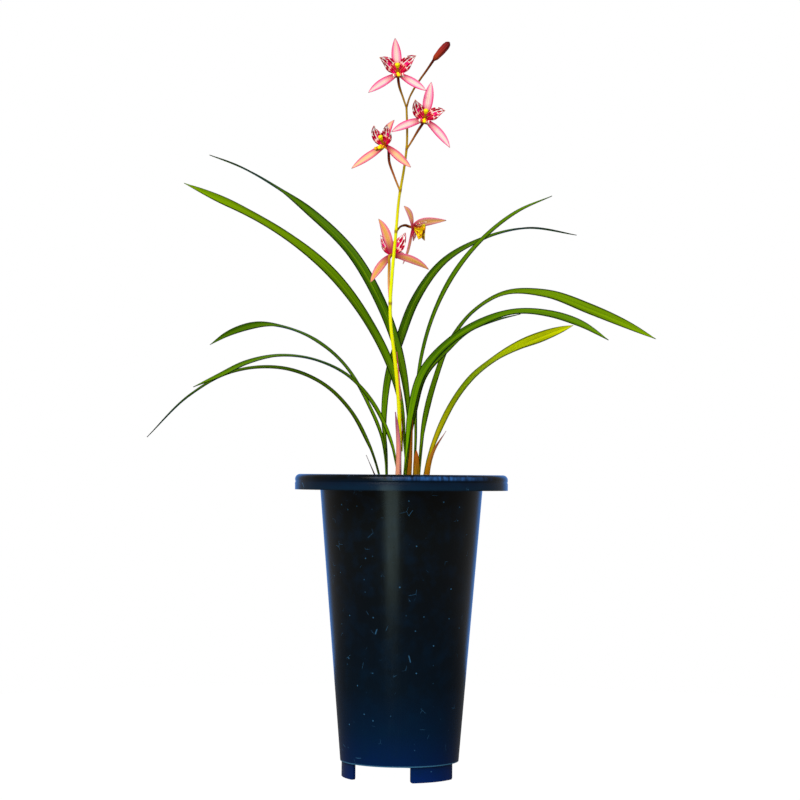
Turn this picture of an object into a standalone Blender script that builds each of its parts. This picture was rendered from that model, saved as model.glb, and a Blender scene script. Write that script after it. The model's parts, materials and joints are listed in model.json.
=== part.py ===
"""Potted four-season orchid: a tall plastic pot, bark mix, pseudobulbs with roots, leaves,
dry sheaths and one flower stem with five open flowers and a bud.

Metres, +Z up. The origin is on the ground, on the pot's axis. The plant is seen best from -Y.
"""
import math
import random

import bmesh
import bpy
import numpy as np
from mathutils import Vector

# Pot: a tall tapered orchid pot of thin moulded plastic with an overhanging rim
POT_HEIGHT = 0.260
POT_SIDES = 36
RIM_RADIUS = 0.0924
RIM_BAND = 0.0134
RIM_ROUND = 0.0028
RIM_LEDGE = 0.0014
GROOVE_HEIGHT = 0.0010
GROOVE_DEPTH = 0.0006
BODY_TOP_RADIUS = 0.0704
BODY_BASE_RADIUS = 0.0512
WALL = 0.0022
FLOOR_UNDERSIDE = 0.0134
FLOOR_TOP = 0.0160
DRAIN_RADIUS = 0.0120
SIDE_DRAINS = 6
SIDE_DRAIN_RADIUS = 0.0045
SIDE_DRAIN_CIRCLE = 0.0300
SIDE_DRAIN_SIDES = 8
FOOT_OUTER_RADIUS = 0.0500
FOOT_THICKNESS = 0.0026
FOOT_SPAN = 54
FOOT_STEPS = 7
FOOT_STARTS = (25, 142, 265)
FOOT_SUNK = 0.0012
POT_COLOUR = (0.012, 0.017, 0.026)

# Growing mix: bark in a plug that fills the pot to below its rim
SEAT_GAP = 0.0003
MIX_TOP = 0.2365
MIX_DOME = 0.0030
MIX_EDGE_RADIUS = 0.066
MIX_SIDE_GAP = 1.05 * SEAT_GAP
MIX_COLOUR = (0.095, 0.050, 0.026)
CHIP_COUNT = 42
CHIP_SIZE = (0.0165, 0.0115, 0.0066)
CHIP_SEED = 12
CHIP_CLEARANCE = 0.0085
CHIP_TILT = 0.35
CHIP_SINK = 0.0004
CHIP_FROM_WALL = 0.62 * CHIP_SIZE[0]
GOLDEN_ANGLE = math.radians(137.5)

# Pseudobulbs: name, then place in plan. The rhizome runs from bulb to bulb below the surface
BULBS = {
    "left": (-0.0170, -0.0090),
    "back_left": (-0.0130, 0.0058),
    "centre": (0.0004, -0.0020),
    "front": (0.0042, -0.0190),
    "back": (0.0043, 0.0112),
    "right": (0.0130, 0.0004),
    "front_right": (0.0194, -0.0138),
}
RHIZOME = (
    ("left", "back_left"),
    ("back_left", "centre"),
    ("centre", "back"),
    ("centre", "right"),
    ("centre", "front"),
    ("right", "front_right"),
)
BULB_HEIGHTS = (0.2250, 0.2310, 0.2390, 0.2489)
BULB_RADII = (0.0030, 0.0056, 0.0056, 0.0036)
BULB_SIDES = 8
RHIZOME_HEIGHT = 0.2288
RHIZOME_RADIUS = 0.0026
RHIZOME_PHASE = 0.2
ROOT_COUNT = 6
ROOT_ROWS = 4
ROOT_SIDES = 5
ROOT_RADIUS = 0.0021
ROOT_TIP_SHARE = 0.6
ROOT_DEPTHS = (0.080, 0.165)
ROOT_REACHES = (0.016, 0.030)
ROOT_TOP = BULB_HEIGHTS[0] + 0.0030
ROOT_COURSE = ((0.45, 0.12), (0.85, 0.45))
ROOT_SEED = 5
BASE_COLOUR = (0.26, 0.20, 0.06)
LEAF_BASE = BULB_HEIGHTS[-1] + 1.4 * SEAT_GAP

# Leaves, each (width, stations from base to tip); a station is x, y, z and the blade's turn.
# Turn 0 is a blade lying level when it arches over, 90 one that shows its upper face to -Y.
LEAVES = {
    "leaf_left_upper": (0.0102, (
        (0.0030, 0.0132, LEAF_BASE, 0),
        (0.0044, 0.0130, 0.2905, 10),
        (0.0039, 0.0140, 0.3210, 40),
        (-0.0054, 0.0180, 0.3739, 75),
        (-0.0197, 0.0250, 0.4122, 90),
        (-0.0464, 0.0360, 0.4569, 68),
        (-0.0832, 0.0480, 0.4932, 54),
        (-0.1118, 0.0570, 0.5148, 16),
        (-0.1436, 0.0640, 0.5343, 4),
        (-0.1761, 0.0700, 0.5481, -14),
    )),
    "leaf_left_broad": (0.0100, (
        (0.0056, 0.0088, LEAF_BASE, 0),
        (0.0012, 0.0085, 0.2900, 12),
        (-0.0009, 0.0080, 0.3141, 35),
        (-0.0089, 0.0060, 0.3492, 60),
        (-0.0291, -0.0020, 0.3901, 56),
        (-0.0635, -0.0140, 0.4350, 68),
        (-0.1024, -0.0270, 0.4647, 46),
        (-0.1376, -0.0380, 0.4842, 48),
        (-0.1691, -0.0470, 0.4988, 86),
        (-0.1865, -0.0520, 0.5059, 80),
    )),
    "leaf_left_middle": (0.0082, (
        (-0.0136, 0.0024, LEAF_BASE, 0),
        (-0.0147, 0.0025, 0.2724, 12),
        (-0.0187, 0.0040, 0.2935, 34),
        (-0.0315, 0.0120, 0.3232, 28),
        (-0.0485, 0.0300, 0.3519, 20),
        (-0.0765, 0.0620, 0.3781, 22),
        (-0.1129, 0.1020, 0.3946, 18),
        (-0.1437, 0.1340, 0.3968, 72),
        (-0.1659, 0.1540, 0.3907, 88),
        (-0.1825, 0.1680, 0.3818, 80),
    )),
    "leaf_left_front": (0.0078, (
        (-0.0010, -0.0020, LEAF_BASE, 0),
        (-0.0055, -0.0022, 0.2695, 16),
        (-0.0100, -0.0040, 0.2880, 40),
        (-0.0213, -0.0130, 0.3136, 38),
        (-0.0415, -0.0340, 0.3389, 22),
        (-0.0713, -0.0680, 0.3544, 10),
        (-0.1010, -0.1010, 0.3565, 18),
        (-0.1264, -0.1300, 0.3490, 34),
        (-0.1472, -0.1540, 0.3370, 44),
        (-0.1654, -0.1700, 0.3280, 30),
    )),
    "leaf_left_low": (0.0074, (
        (-0.0174, -0.0090, LEAF_BASE, 0),
        (-0.0235, -0.0100, 0.2711, 15),
        (-0.0304, -0.0110, 0.2883, 44),
        (-0.0450, -0.0130, 0.3141, 32),
        (-0.0662, -0.0140, 0.3353, 26),
        (-0.0972, -0.0120, 0.3492, 24),
        (-0.1278, -0.0080, 0.3510, 22),
        (-0.1520, -0.0040, 0.3457, 20),
        (-0.1844, 0.0020, 0.3274, 14),
        (-0.2227, 0.0100, 0.2911, 8),
    )),
    "leaf_right_upper": (0.0094, (
        (-0.0120, 0.0090, LEAF_BASE, 0),
        (-0.0126, 0.0100, 0.2816, 20),
        (-0.0150, 0.0150, 0.3095, 60),
        (-0.0111, 0.0260, 0.3504, 74),
        (-0.0028, 0.0340, 0.3781, 86),
        (0.0110, 0.0460, 0.4144, 66),
        (0.0356, 0.0640, 0.4502, 44),
        (0.0689, 0.0880, 0.4731, 26),
        (0.1126, 0.1120, 0.4880, 6),
        (0.1623, 0.1360, 0.4851, -8),
    )),
    "leaf_right_slim": (0.0080, (
        (0.0109, 0.0010, LEAF_BASE, 0),
        (0.0130, 0.0000, 0.2900, 20),
        (0.0132, -0.0040, 0.3204, 22),
        (0.0176, -0.0090, 0.3627, 22),
        (0.0279, -0.0170, 0.3991, 24),
        (0.0450, -0.0270, 0.4332, 32),
        (0.0685, -0.0380, 0.4615, 26),
        (0.0968, -0.0500, 0.4834, 26),
        (0.1252, -0.0620, 0.4959, 20),
    )),
    "leaf_right_front": (0.0098, (
        (0.0026, -0.0210, LEAF_BASE, 0),
        (0.0057, -0.0215, 0.2829, 30),
        (0.0078, -0.0230, 0.3109, 62),
        (0.0183, -0.0280, 0.3479, 58),
        (0.0414, -0.0360, 0.3736, 44),
        (0.0665, -0.0460, 0.3888, 44),
        (0.0947, -0.0580, 0.3972, 32),
        (0.1230, -0.0700, 0.3949, 42),
        (0.1468, -0.0800, 0.3870, 58),
        (0.1705, -0.0920, 0.3726, 50),
    )),
    "leaf_right_short": (0.0076, (
        (0.0056, -0.0168, LEAF_BASE, 0),
        (0.0072, -0.0170, 0.2829, 20),
        (0.0115, -0.0170, 0.3137, 40),
        (0.0210, -0.0180, 0.3466, 38),
        (0.0394, -0.0180, 0.3666, 24),
        (0.0586, -0.0170, 0.3838, 14),
        (0.0811, -0.0140, 0.3935, 12),
        (0.1021, -0.0100, 0.3998, 8),
    )),
    "leaf_right_broad": (0.0106, (
        (0.0152, 0.0002, LEAF_BASE, 0),
        (0.0180, 0.0010, 0.2828, 20),
        (0.0212, 0.0020, 0.3091, 44),
        (0.0296, 0.0040, 0.3416, 34),
        (0.0428, 0.0060, 0.3758, 22),
        (0.0627, 0.0080, 0.4025, 14),
        (0.0899, 0.0100, 0.4185, 24),
        (0.1243, 0.0110, 0.4188, 46),
        (0.1643, 0.0120, 0.4060, 78),
        (0.1944, 0.0120, 0.3937, 88),
        (0.2222, 0.0120, 0.3804, 80),
    )),
    "leaf_right_pale": (0.0108, (
        (0.0192, -0.0138, LEAF_BASE, 0),
        (0.0240, -0.0140, 0.2717, 26),
        (0.0327, -0.0090, 0.2968, 40),
        (0.0469, 0.0040, 0.3248, 32),
        (0.0624, 0.0200, 0.3453, 30),
        (0.0810, 0.0400, 0.3611, 28),
        (0.1028, 0.0600, 0.3749, 50),
        (0.1284, 0.0820, 0.3871, 88),
        (0.1570, 0.1040, 0.3983, 80),
    )),
}
LEAF_ROWS = 17
LEAF_COLUMNS = 4
LEAF_THICKNESS = 0.0007
LEAF_BASE_WIDTH = 0.46
LEAF_SWELL_END = 0.55
LEAF_SWELL_POWER = 1.3
LEAF_TAPER_START = 0.62
LEAF_TAPER_POWER = 4.5
LEAF_TIP_WIDTH = 0.0009
LEAF_BASE_FOLD = 58
LEAF_OPEN_FOLD = 17
LEAF_FOLD_FALL = 6.0
LEAF_COLOUR = (0.055, 0.150, 0.010)
PALE_LEAF = "leaf_right_pale"
PALE_LEAF_COLOUR = (0.30, 0.36, 0.03)

# A blade folds along its middle: steeper in the inner half of each side than in the outer half
INNER_FOLD = 1.2
OUTER_FOLD = 0.7

# Dry sheaths: thin brown blades round the shoots, each standing in the mix.
# Each row is width, foot in plan, middle and tip
SHEATHS = {
    "dry_sheath_1": (0.0022, (-0.0142, -0.0172), (-0.0226, -0.0182, 0.2585), (-0.0305, -0.0195, 0.2766)),
    "dry_sheath_2": (0.0062, (0.0206, -0.0240), (0.0272, -0.0240, 0.2800), (0.0380, -0.0240, 0.2977)),
    "dry_sheath_3": (0.0052, (0.0056, -0.0276), (0.0075, -0.0278, 0.2730), (0.0093, -0.0284, 0.3070)),
    "dry_sheath_4": (0.0062, (0.0131, -0.0249), (0.0127, -0.0249, 0.2600), (0.0126, -0.0248, 0.2810)),
    "dry_sheath_5": (0.0020, (-0.0007, -0.0098), (-0.0006, -0.0090, 0.2600), (-0.0004, -0.0080, 0.2804)),
}
SHEATH_TAPERS = {"dry_sheath_4": 9.0}
SHEATH_FOOT = 0.2334
SHEATH_THICKNESS = 0.0007
SHEATH_ROWS = 8
SHEATH_FOLD = -24
SHEATH_TAPER_POWER = 1.6
SHEATH_COLOUR = (0.24, 0.105, 0.035)

# Flower stem: stations from its foot to its top, x, y, z and radius
SCAPE = (
    (-0.0040, -0.0125, 0.2250, 0.0019),
    (-0.0035, -0.0125, 0.2440, 0.0019),
    (-0.0024, -0.0124, 0.2640, 0.0019),
    (-0.0018, -0.0122, 0.2880, 0.0018),
    (-0.0023, -0.0121, 0.3110, 0.0018),
    (-0.0045, -0.0120, 0.3417, 0.0017),
    (-0.0068, -0.0120, 0.3620, 0.0016),
    (-0.0103, -0.0120, 0.3900, 0.0015),
    (-0.0109, -0.0120, 0.4084, 0.0015),
    (-0.0098, -0.0120, 0.4283, 0.0015),
    (-0.0064, -0.0117, 0.4701, 0.0013),
    (-0.0038, -0.0115, 0.5006, 0.0012),
    (0.0004, -0.0110, 0.5269, 0.0011),
    (0.0024, -0.0106, 0.5450, 0.0010),
    (0.0026, -0.0103, 0.5620, 0.0010),
    (0.0019, -0.0100, 0.5803, 0.0009),
)
SCAPE_SIDES = 8
SCAPE_ROWS = 26
SCAPE_COLOUR = (0.62, 0.56, 0.02)

# Bracts that wrap the flower stem: low and high end, the way they face, the wrap's angle and
# how far the tip stands off the stem
SCAPE_BRACTS = {
    "scape_bract_1": (0.2480, 0.3140, -140, 210, 0.0018),
    "scape_bract_2": (0.2800, 0.3085, 20, 60, 0.0008),
    "scape_bract_3": (0.3240, 0.3660, 0, 120, 0.0003),
}
BRACT_THICKNESS = 0.0007
BRACT_ROWS = 7
BRACT_COLUMNS = 4
BRACT_TAPER_POWER = 1.8
BRACT_TIP_SHARE = 0.10
BRACT_COLOUR = (0.55, 0.20, 0.12)

# Flowers: centre, the way each faces, the tips of its sepals and petals from its centre, and
# the stalk's route from the flower stem. A bow is a share of the tepal's own length
FLOWERS = {
    "flower_1": {
        "centre": (-0.0057, -0.0170, 0.6073),
        "faces": (0.00, -0.99, 0.10),
        "sepals": ((-0.0027, -0.0030, 0.0303), (-0.0254, -0.0050, -0.0176), (0.0243, -0.0075, -0.0160)),
        "petals": ((-0.0160, -0.0150, 0.0109), (0.0154, -0.0150, 0.0129)),
        "petal_widths": (0.0112, 0.0112),
        "petal_bows": (0.20, 0.18),
        "sepal_bows": (0.0, 0.06, 0.06),
        "joint": (0.0009, -0.0100, 0.5812),
        "stalk": ((-0.0013, -0.0110, 0.5879), (-0.0045, -0.0130, 0.5972)),
    },
    "flower_2": {
        "centre": (0.0179, -0.0150, 0.5682),
        "faces": (0.00, -0.99, 0.05),
        "sepals": ((0.0054, 0.0020, 0.0327), (-0.0288, -0.0015, -0.0116), (0.0217, -0.0050, -0.0254)),
        "petals": ((-0.0087, -0.0150, 0.0143), (0.0172, -0.0130, 0.0053)),
        "petal_widths": (0.0114, 0.0106),
        "petal_bows": (-0.16, 0.18),
        "sepal_bows": (0.0, 0.09, 0.10),
        "joint": 0.5430,
        "stalk": ((0.0060, -0.0108, 0.5483), (0.0119, -0.0112, 0.5583)),
    },
    "flower_3": {
        "centre": (-0.0164, -0.0160, 0.5451),
        "faces": (-0.46, -0.87, 0.05),
        "sepals": ((0.0077, 0.0200, 0.0251), (-0.0290, 0.0060, -0.0197), (0.0224, -0.0080, -0.0203)),
        "petals": ((-0.0097, -0.0080, 0.0157), (0.0017, -0.0150, 0.0158)),
        "petal_widths": (0.0112, 0.0108),
        "petal_bows": (-0.30, 0.0),
        "sepal_bows": (0.0, 0.08, 0.02),
        "joint": 0.5067,
        "stalk": ((-0.0080, -0.0120, 0.5179), (-0.0125, -0.0120, 0.5305)),
    },
    "flower_4": {
        "centre": (0.0084, -0.0080, 0.4746),
        "faces": (0.92, -0.28, -0.27),
        "sepals": ((0.0291, 0.0120, 0.0078), (-0.0080, -0.0180, 0.0164), (-0.0086, 0.0120, -0.0307)),
        "petals": ((0.0119, -0.0036, 0.0046), (0.0001, 0.0100, -0.0107)),
        "petal_widths": (0.0048, 0.0084),
        "petal_bows": (0.0, 0.0),
        "sepal_bows": (0.0, 0.08, 0.07),
        "lip_scale": 1.2,
        "joint": 0.4710,
        "stalk": ((-0.0022, -0.0105, 0.4752), (0.0018, -0.0095, 0.4763)),
    },
    "flower_5": {
        "centre": (-0.0101, -0.0035, 0.4514),
        "faces": (0.38, 0.83, 0.40),
        "sepals": ((-0.0115, -0.0010, 0.0308), (-0.0181, 0.0070, -0.0238), (0.0323, -0.0035, -0.0132)),
        "petals": ((-0.0099, 0.0155, 0.0187), (0.0120, 0.0125, 0.0205)),
        "petal_widths": (0.0092, 0.0128),
        "petal_bows": (0.0, -0.12),
        "sepal_bows": (-0.20, 0.14, 0.19),
        "joint": 0.4084,
        "stalk": ((-0.0123, -0.0102, 0.4241), (-0.0120, -0.0070, 0.4410)),
    },
}
SEPAL_WIDTHS = (0.0088, 0.0072, 0.0072)
SEPAL_CUP = 12
SEPAL_LEVEL = -0.0006
SEPAL_COLOUR = (0.80, 0.32, 0.30)
PETAL_CUP = 26
PETAL_LEVEL = 0.0009
PETAL_COLOUR = (0.80, 0.45, 0.38)
TEPAL_THICKNESS = 0.0007
TEPAL_TIP_WIDTH = 0.0009
TEPAL_ROWS = 7
TEPAL_COLUMNS = 2
TEPAL_BEND = 0.55
LEAST_LIFT = 0.05
TEPAL_ROOT = 0.0005
TEPAL_BELLY = (0.10, 0.90, 1.08, 0.78)
HUB_RADIUS = 0.0022
HUB_THICKNESS = 0.0012
HUB_SIDES = 8

# Flower stalks: the last part swells into the ovary and meets the back of the flower squarely
STALK_LEVEL = SEPAL_LEVEL - HUB_THICKNESS / 2 - SEAT_GAP
STALK_STRAIGHT = 0.0030
STALK_RADII = (0.0008, 0.0009, 0.0012, 0.0012)
STALK_ROWS = 9
STALK_SIDES = 6
STALK_COLOUR = (0.33, 0.10, 0.04)

# The column and the lip, drawn in the flower's own upright plane: up, then forward
COLUMN_ROUTE = ((0.0010, 0.0020), (0.0014, 0.0038), (0.0034, 0.0058), (0.0052, 0.0074), (0.0068, 0.0092))
COLUMN_RADII = (0.0010, 0.0011, 0.0012, 0.0021, 0.0012)
COLUMN_SIDES = 8
COLUMN_COLOUR = (0.75, 0.55, 0.03)
LIP_ROUTE = ((-0.0014, 0.0019), (-0.0013, 0.0045), (-0.0010, 0.0076), (-0.0020, 0.0100), (-0.0044, 0.0108),
             (-0.0064, 0.0098))
LIP_WIDTHS = (0.0028, 0.0058, 0.0128, 0.0142, 0.0098, 0.0100, 0.0104, 0.0060)
LIP_CUPS = (10, 34, 44, 46, 26, 6, -8, -8)
LIP_ROWS = 9
LIP_COLUMNS = 4
LIP_COLOUR = (0.78, 0.35, 0.06)

# Bud: its own short stalk carries on from the top of the flower stem
BUD_STALK = (
    (0.0029, -0.0100, 0.5812),
    (0.0044, -0.0096, 0.5874),
    (0.0079, -0.0090, 0.5947),
    (0.0137, -0.0085, 0.6040),
    (0.0195, -0.0082, 0.6123),
    (0.0253, -0.0080, 0.6211),
)
BUD_STALK_RADII = (0.0009, 0.0008, 0.0009, 0.0011, 0.0012)
BUD_STALK_ROWS = 8
BUD_STALK_COLOUR = (0.30, 0.09, 0.04)
BUD_TIP = (0.0390, -0.0080, 0.6369)
BUD_SHARES = (0.0, 0.08, 0.30, 0.60, 0.85, 0.95, 1.0)
BUD_RADII = (0.0013, 0.0022, 0.0029, 0.0033, 0.0029, 0.0020, 0.0006)
BUD_SIDES = 8
BUD_COLOUR = (0.34, 0.05, 0.04)

# Plain holes in the mix for the flower stem and the dry sheaths
STEM_HOLE_PLAY = 0.0005
STEM_HOLE_HEIGHT = 0.020
STEM_HOLE_LEAN = 0.0004
STEM_HOLE_SIDES = 10
SHEATH_HOLE_PLAY = 0.0006
SHEATH_HOLE_HEIGHT = 0.014
SHEATH_HOLE_SIDES = 8


def clear_scene():
    for item in list(bpy.data.objects):
        bpy.data.objects.remove(item, do_unlink=True)


def finish(item, name, colour, roughness):
    """Gives the object its own plain material."""
    material = bpy.data.materials.new(name)
    material.use_nodes = True
    shader = material.node_tree.nodes["Principled BSDF"]
    shader.inputs["Base Color"].default_value = (*colour, 1.0)
    shader.inputs["Roughness"].default_value = roughness
    shader.inputs["Metallic"].default_value = 0.0
    item.data.materials.clear()
    item.data.materials.append(material)


def add_object(name, mesh_editor):
    """Turns a bmesh into a named object of the scene."""
    mesh = bpy.data.meshes.new(name)
    mesh_editor.to_mesh(mesh)
    mesh_editor.free()
    item = bpy.data.objects.new(name, mesh)
    bpy.context.scene.collection.objects.link(item)
    return item


def apply_modifiers(item):
    """Replaces the object's mesh by the mesh that its modifiers make."""
    graph = bpy.context.evaluated_depsgraph_get()
    graph.update()
    mesh = bpy.data.meshes.new_from_object(item.evaluated_get(graph))
    item.modifiers.clear()
    item.data = mesh


def face_outwards(item):
    editor = bmesh.new()
    editor.from_mesh(item.data)
    bmesh.ops.recalc_face_normals(editor, faces=editor.faces[:])
    editor.to_mesh(item.data)
    editor.free()


def smooth_route(stations, count):
    """Points at even steps along a smooth curve through the stations."""
    rows = np.array(stations, dtype=float)
    chord = np.linalg.norm(np.diff(rows[:, :3], axis=0), axis=1)
    knots = np.concatenate([[0.0], np.cumsum(chord)])
    slopes = np.gradient(rows, knots, axis=0)
    dense = []
    for i in range(len(rows) - 1):
        span = knots[i + 1] - knots[i]
        for step in np.linspace(0.0, 1.0, 24, endpoint=False):
            a = 2 * step ** 3 - 3 * step ** 2 + 1
            b = step ** 3 - 2 * step ** 2 + step
            c = step ** 3 - step ** 2
            ends = a * rows[i] + (1 - a) * rows[i + 1]
            dense.append(ends + span * (b * slopes[i] + c * slopes[i + 1]))
    dense.append(rows[-1])
    dense = np.array(dense)
    run = np.linalg.norm(np.diff(dense[:, :3], axis=0), axis=1)
    run = np.concatenate([[0.0], np.cumsum(run)])
    places = np.linspace(0.0, run[-1], count)
    return np.array([[np.interp(place, run, column) for column in dense.T] for place in places])


def tangents(points):
    """Unit direction of a route at each of its points."""
    return [Vector(row).normalized() for row in np.gradient(np.array(points), axis=0)]


def tube(name, points, radii, sides, phase=0.0, last_heading=None):
    """Closed round tube along the points, with flat ends."""
    points = [Vector(point) for point in points]
    along = tangents([tuple(point) for point in points])
    if last_heading is not None:
        along[-1] = last_heading
    editor = bmesh.new()
    side = along[0].orthogonal().normalized()
    rings = []
    for point, heading, radius in zip(points, along, [float(value) for value in radii]):
        side = (side - heading * side.dot(heading)).normalized()
        other = heading.cross(side)
        ring = []
        for i in range(sides):
            angle = phase + 2 * math.pi * i / sides
            spoke = math.cos(angle) * side + math.sin(angle) * other
            ring.append(editor.verts.new(point + radius * spoke))
        rings.append(ring)
    for low, high in zip(rings, rings[1:]):
        for i in range(sides):
            j = (i + 1) % sides
            editor.faces.new((low[i], low[j], high[j], high[i]))
    editor.faces.new(rings[0][::-1])
    editor.faces.new(rings[-1])
    bmesh.ops.triangulate(editor, faces=editor.faces[:])
    return add_object(name, editor)


def thicken(name, editor, thickness):
    """Makes a closed thin solid of an open sheet, the same on both faces."""
    bmesh.ops.triangulate(editor, faces=editor.faces[:], quad_method="FIXED")
    item = add_object(name, editor)
    shell = item.modifiers.new("thickness", "SOLIDIFY")
    shell.thickness = thickness
    shell.offset = 0.0
    shell.use_even_offset = True
    shell.use_rim = True
    apply_modifiers(item)
    face_outwards(item)
    return item


def blade(name, points, sides, faces, widths, folds, columns, thickness):
    """Thin blade along the points. A fold lifts both of its halves towards the face direction."""
    rows = len(points)
    editor = bmesh.new()
    bmesh.ops.create_grid(editor, x_segments=columns, y_segments=rows - 1, size=1.0)
    for vert in editor.verts:
        row = round((vert.co.y + 1.0) / 2.0 * (rows - 1))
        across = vert.co.x
        inner = min(abs(across), 0.5)
        outer = abs(across) - inner
        steep = math.radians(folds[row] * INNER_FOLD)
        shallow = math.radians(folds[row] * OUTER_FOLD)
        half = widths[row] / 2.0
        spread = half * (inner * math.cos(steep) + outer * math.cos(shallow))
        lift = half * (inner * math.sin(steep) + outer * math.sin(shallow))
        vert.co = points[row] + sides[row] * math.copysign(spread, across) + faces[row] * lift
    return thicken(name, editor, thickness)


def join_solids(item, others, operation="UNION"):
    """Boolean of the object with a collection of others, applied; the others are removed."""
    group = bpy.data.collections.new("joined")
    bpy.context.scene.collection.children.link(group)
    for other in others:
        bpy.context.scene.collection.objects.unlink(other)
        group.objects.link(other)
    boolean = item.modifiers.new("joined", "BOOLEAN")
    boolean.operand_type = "COLLECTION"
    boolean.collection = group
    boolean.operation = operation
    boolean.solver = "EXACT"
    apply_modifiers(item)
    for other in others:
        bpy.data.objects.remove(other, do_unlink=True)
    bpy.data.collections.remove(group)
    return item


def keep_largest_body(item):
    """Drops loose scraps that a Boolean leaves."""
    editor = bmesh.new()
    editor.from_mesh(item.data)
    bmesh.ops.remove_doubles(editor, verts=editor.verts[:], dist=0.000005)
    waiting = set(editor.verts)
    bodies = []
    while waiting:
        body = {waiting.pop()}
        edge = list(body)
        while edge:
            for link in edge.pop().link_edges:
                for vert in link.verts:
                    if vert in waiting:
                        waiting.remove(vert)
                        body.add(vert)
                        edge.append(vert)
        bodies.append(body)
    bodies.sort(key=len)
    for body in bodies[:-1]:
        bmesh.ops.delete(editor, geom=list(body), context="VERTS")
    editor.to_mesh(item.data)
    editor.free()


def turned(name, profile, steps, closed=True):
    """Full turn of a half section about the Z axis."""
    editor = bmesh.new()
    loop = [editor.verts.new((radius, 0.0, height)) for radius, height in profile]
    pairs = list(zip(loop, loop[1:]))
    if closed:
        pairs.append((loop[-1], loop[0]))
    edges = [editor.edges.new(pair) for pair in pairs]
    bmesh.ops.spin(editor, geom=edges, axis=(0, 0, 1), cent=(0, 0, 0), angle=2 * math.pi,
                   steps=steps, use_merge=True)
    bmesh.ops.remove_doubles(editor, verts=editor.verts[:], dist=0.00001)
    bmesh.ops.recalc_face_normals(editor, faces=editor.faces[:])
    return add_object(name, editor)


def body_radius(height):
    """Outer radius of the pot's tapered body at a height."""
    share = (height - FLOOR_UNDERSIDE) / (POT_HEIGHT - RIM_BAND - FLOOR_UNDERSIDE)
    return BODY_BASE_RADIUS + share * (BODY_TOP_RADIUS - BODY_BASE_RADIUS)


def pot_profile():
    """Half section of the pot, radius and height, from its foot round the rim to the drain."""
    band = POT_HEIGHT - RIM_BAND
    groove = POT_HEIGHT - RIM_BAND / 2
    web = POT_HEIGHT - WALL
    corner = [
        (RIM_RADIUS - RIM_ROUND * (1 - math.cos(turn)), POT_HEIGHT - RIM_ROUND * (1 - math.sin(turn)))
        for turn in np.radians((0, 45, 90))
    ]
    return [
        (BODY_BASE_RADIUS, FLOOR_UNDERSIDE),
        (body_radius(web), web),
        (RIM_RADIUS - WALL, web),
        (RIM_RADIUS - WALL, band),
        (RIM_RADIUS, band),
        (RIM_RADIUS, groove - GROOVE_HEIGHT),
        (RIM_RADIUS - GROOVE_DEPTH, groove),
        (RIM_RADIUS, groove + GROOVE_HEIGHT),
        *corner,
        (body_radius(POT_HEIGHT) - WALL + RIM_LEDGE, POT_HEIGHT),
        (body_radius(web) - WALL, web),
        (body_radius(FLOOR_TOP) - WALL, FLOOR_TOP),
        (DRAIN_RADIUS, FLOOR_TOP),
        (DRAIN_RADIUS, FLOOR_UNDERSIDE),
    ]


def pot_foot(start):
    """One curved foot: an arc of the ring below the floor. Angles run from +X towards -Y."""
    inner = FOOT_OUTER_RADIUS - FOOT_THICKNESS
    top = FLOOR_UNDERSIDE + FOOT_SUNK
    section = ((FOOT_OUTER_RADIUS, 0.0), (FOOT_OUTER_RADIUS, top), (inner, top), (inner, 0.0))
    heading = -math.radians(start)
    editor = bmesh.new()
    loop = [
        editor.verts.new((radius * math.cos(heading), radius * math.sin(heading), height))
        for radius, height in section
    ]
    edges = [editor.edges.new((a, b)) for a, b in zip(loop, loop[1:] + loop[:1])]
    bmesh.ops.spin(editor, geom=edges, axis=(0, 0, 1), cent=(0, 0, 0),
                   angle=-math.radians(FOOT_SPAN), steps=FOOT_STEPS)
    bmesh.ops.holes_fill(editor, edges=[edge for edge in editor.edges if edge.is_boundary])
    bmesh.ops.recalc_face_normals(editor, faces=editor.faces[:])
    return add_object("foot", editor)


def side_drain(number):
    """Upright cutter for one of the round drains that ring the middle one."""
    turn = 2 * math.pi * (number + 0.5) / SIDE_DRAINS
    x = SIDE_DRAIN_CIRCLE * math.cos(turn)
    y = SIDE_DRAIN_CIRCLE * math.sin(turn)
    ends = ((x, y, FLOOR_UNDERSIDE - WALL), (x, y, FLOOR_TOP + WALL))
    return tube("drain", ends, (SIDE_DRAIN_RADIUS,) * 2, SIDE_DRAIN_SIDES)


def make_pot():
    pot = turned("pot", pot_profile(), POT_SIDES)
    join_solids(pot, [pot_foot(start) for start in FOOT_STARTS])
    join_solids(pot, [side_drain(number) for number in range(SIDE_DRAINS)], "DIFFERENCE")
    finish(pot, "black moulded plastic", POT_COLOUR, 0.38)


def bulb_solids(grow):
    solids = []
    heights = list(BULB_HEIGHTS)
    heights[0] -= grow
    for x, y in BULBS.values():
        points = [(x, y, height) for height in heights]
        solids.append(tube("bulb", points, [radius + grow for radius in BULB_RADII], BULB_SIDES))
    return solids


def rhizome_solids(grow):
    solids = []
    for start, end in RHIZOME:
        points = [(*BULBS[name], RHIZOME_HEIGHT) for name in (start, end)]
        solids.append(tube("link", points, (RHIZOME_RADIUS + grow,) * 2, BULB_SIDES, phase=RHIZOME_PHASE))
    return solids


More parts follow.
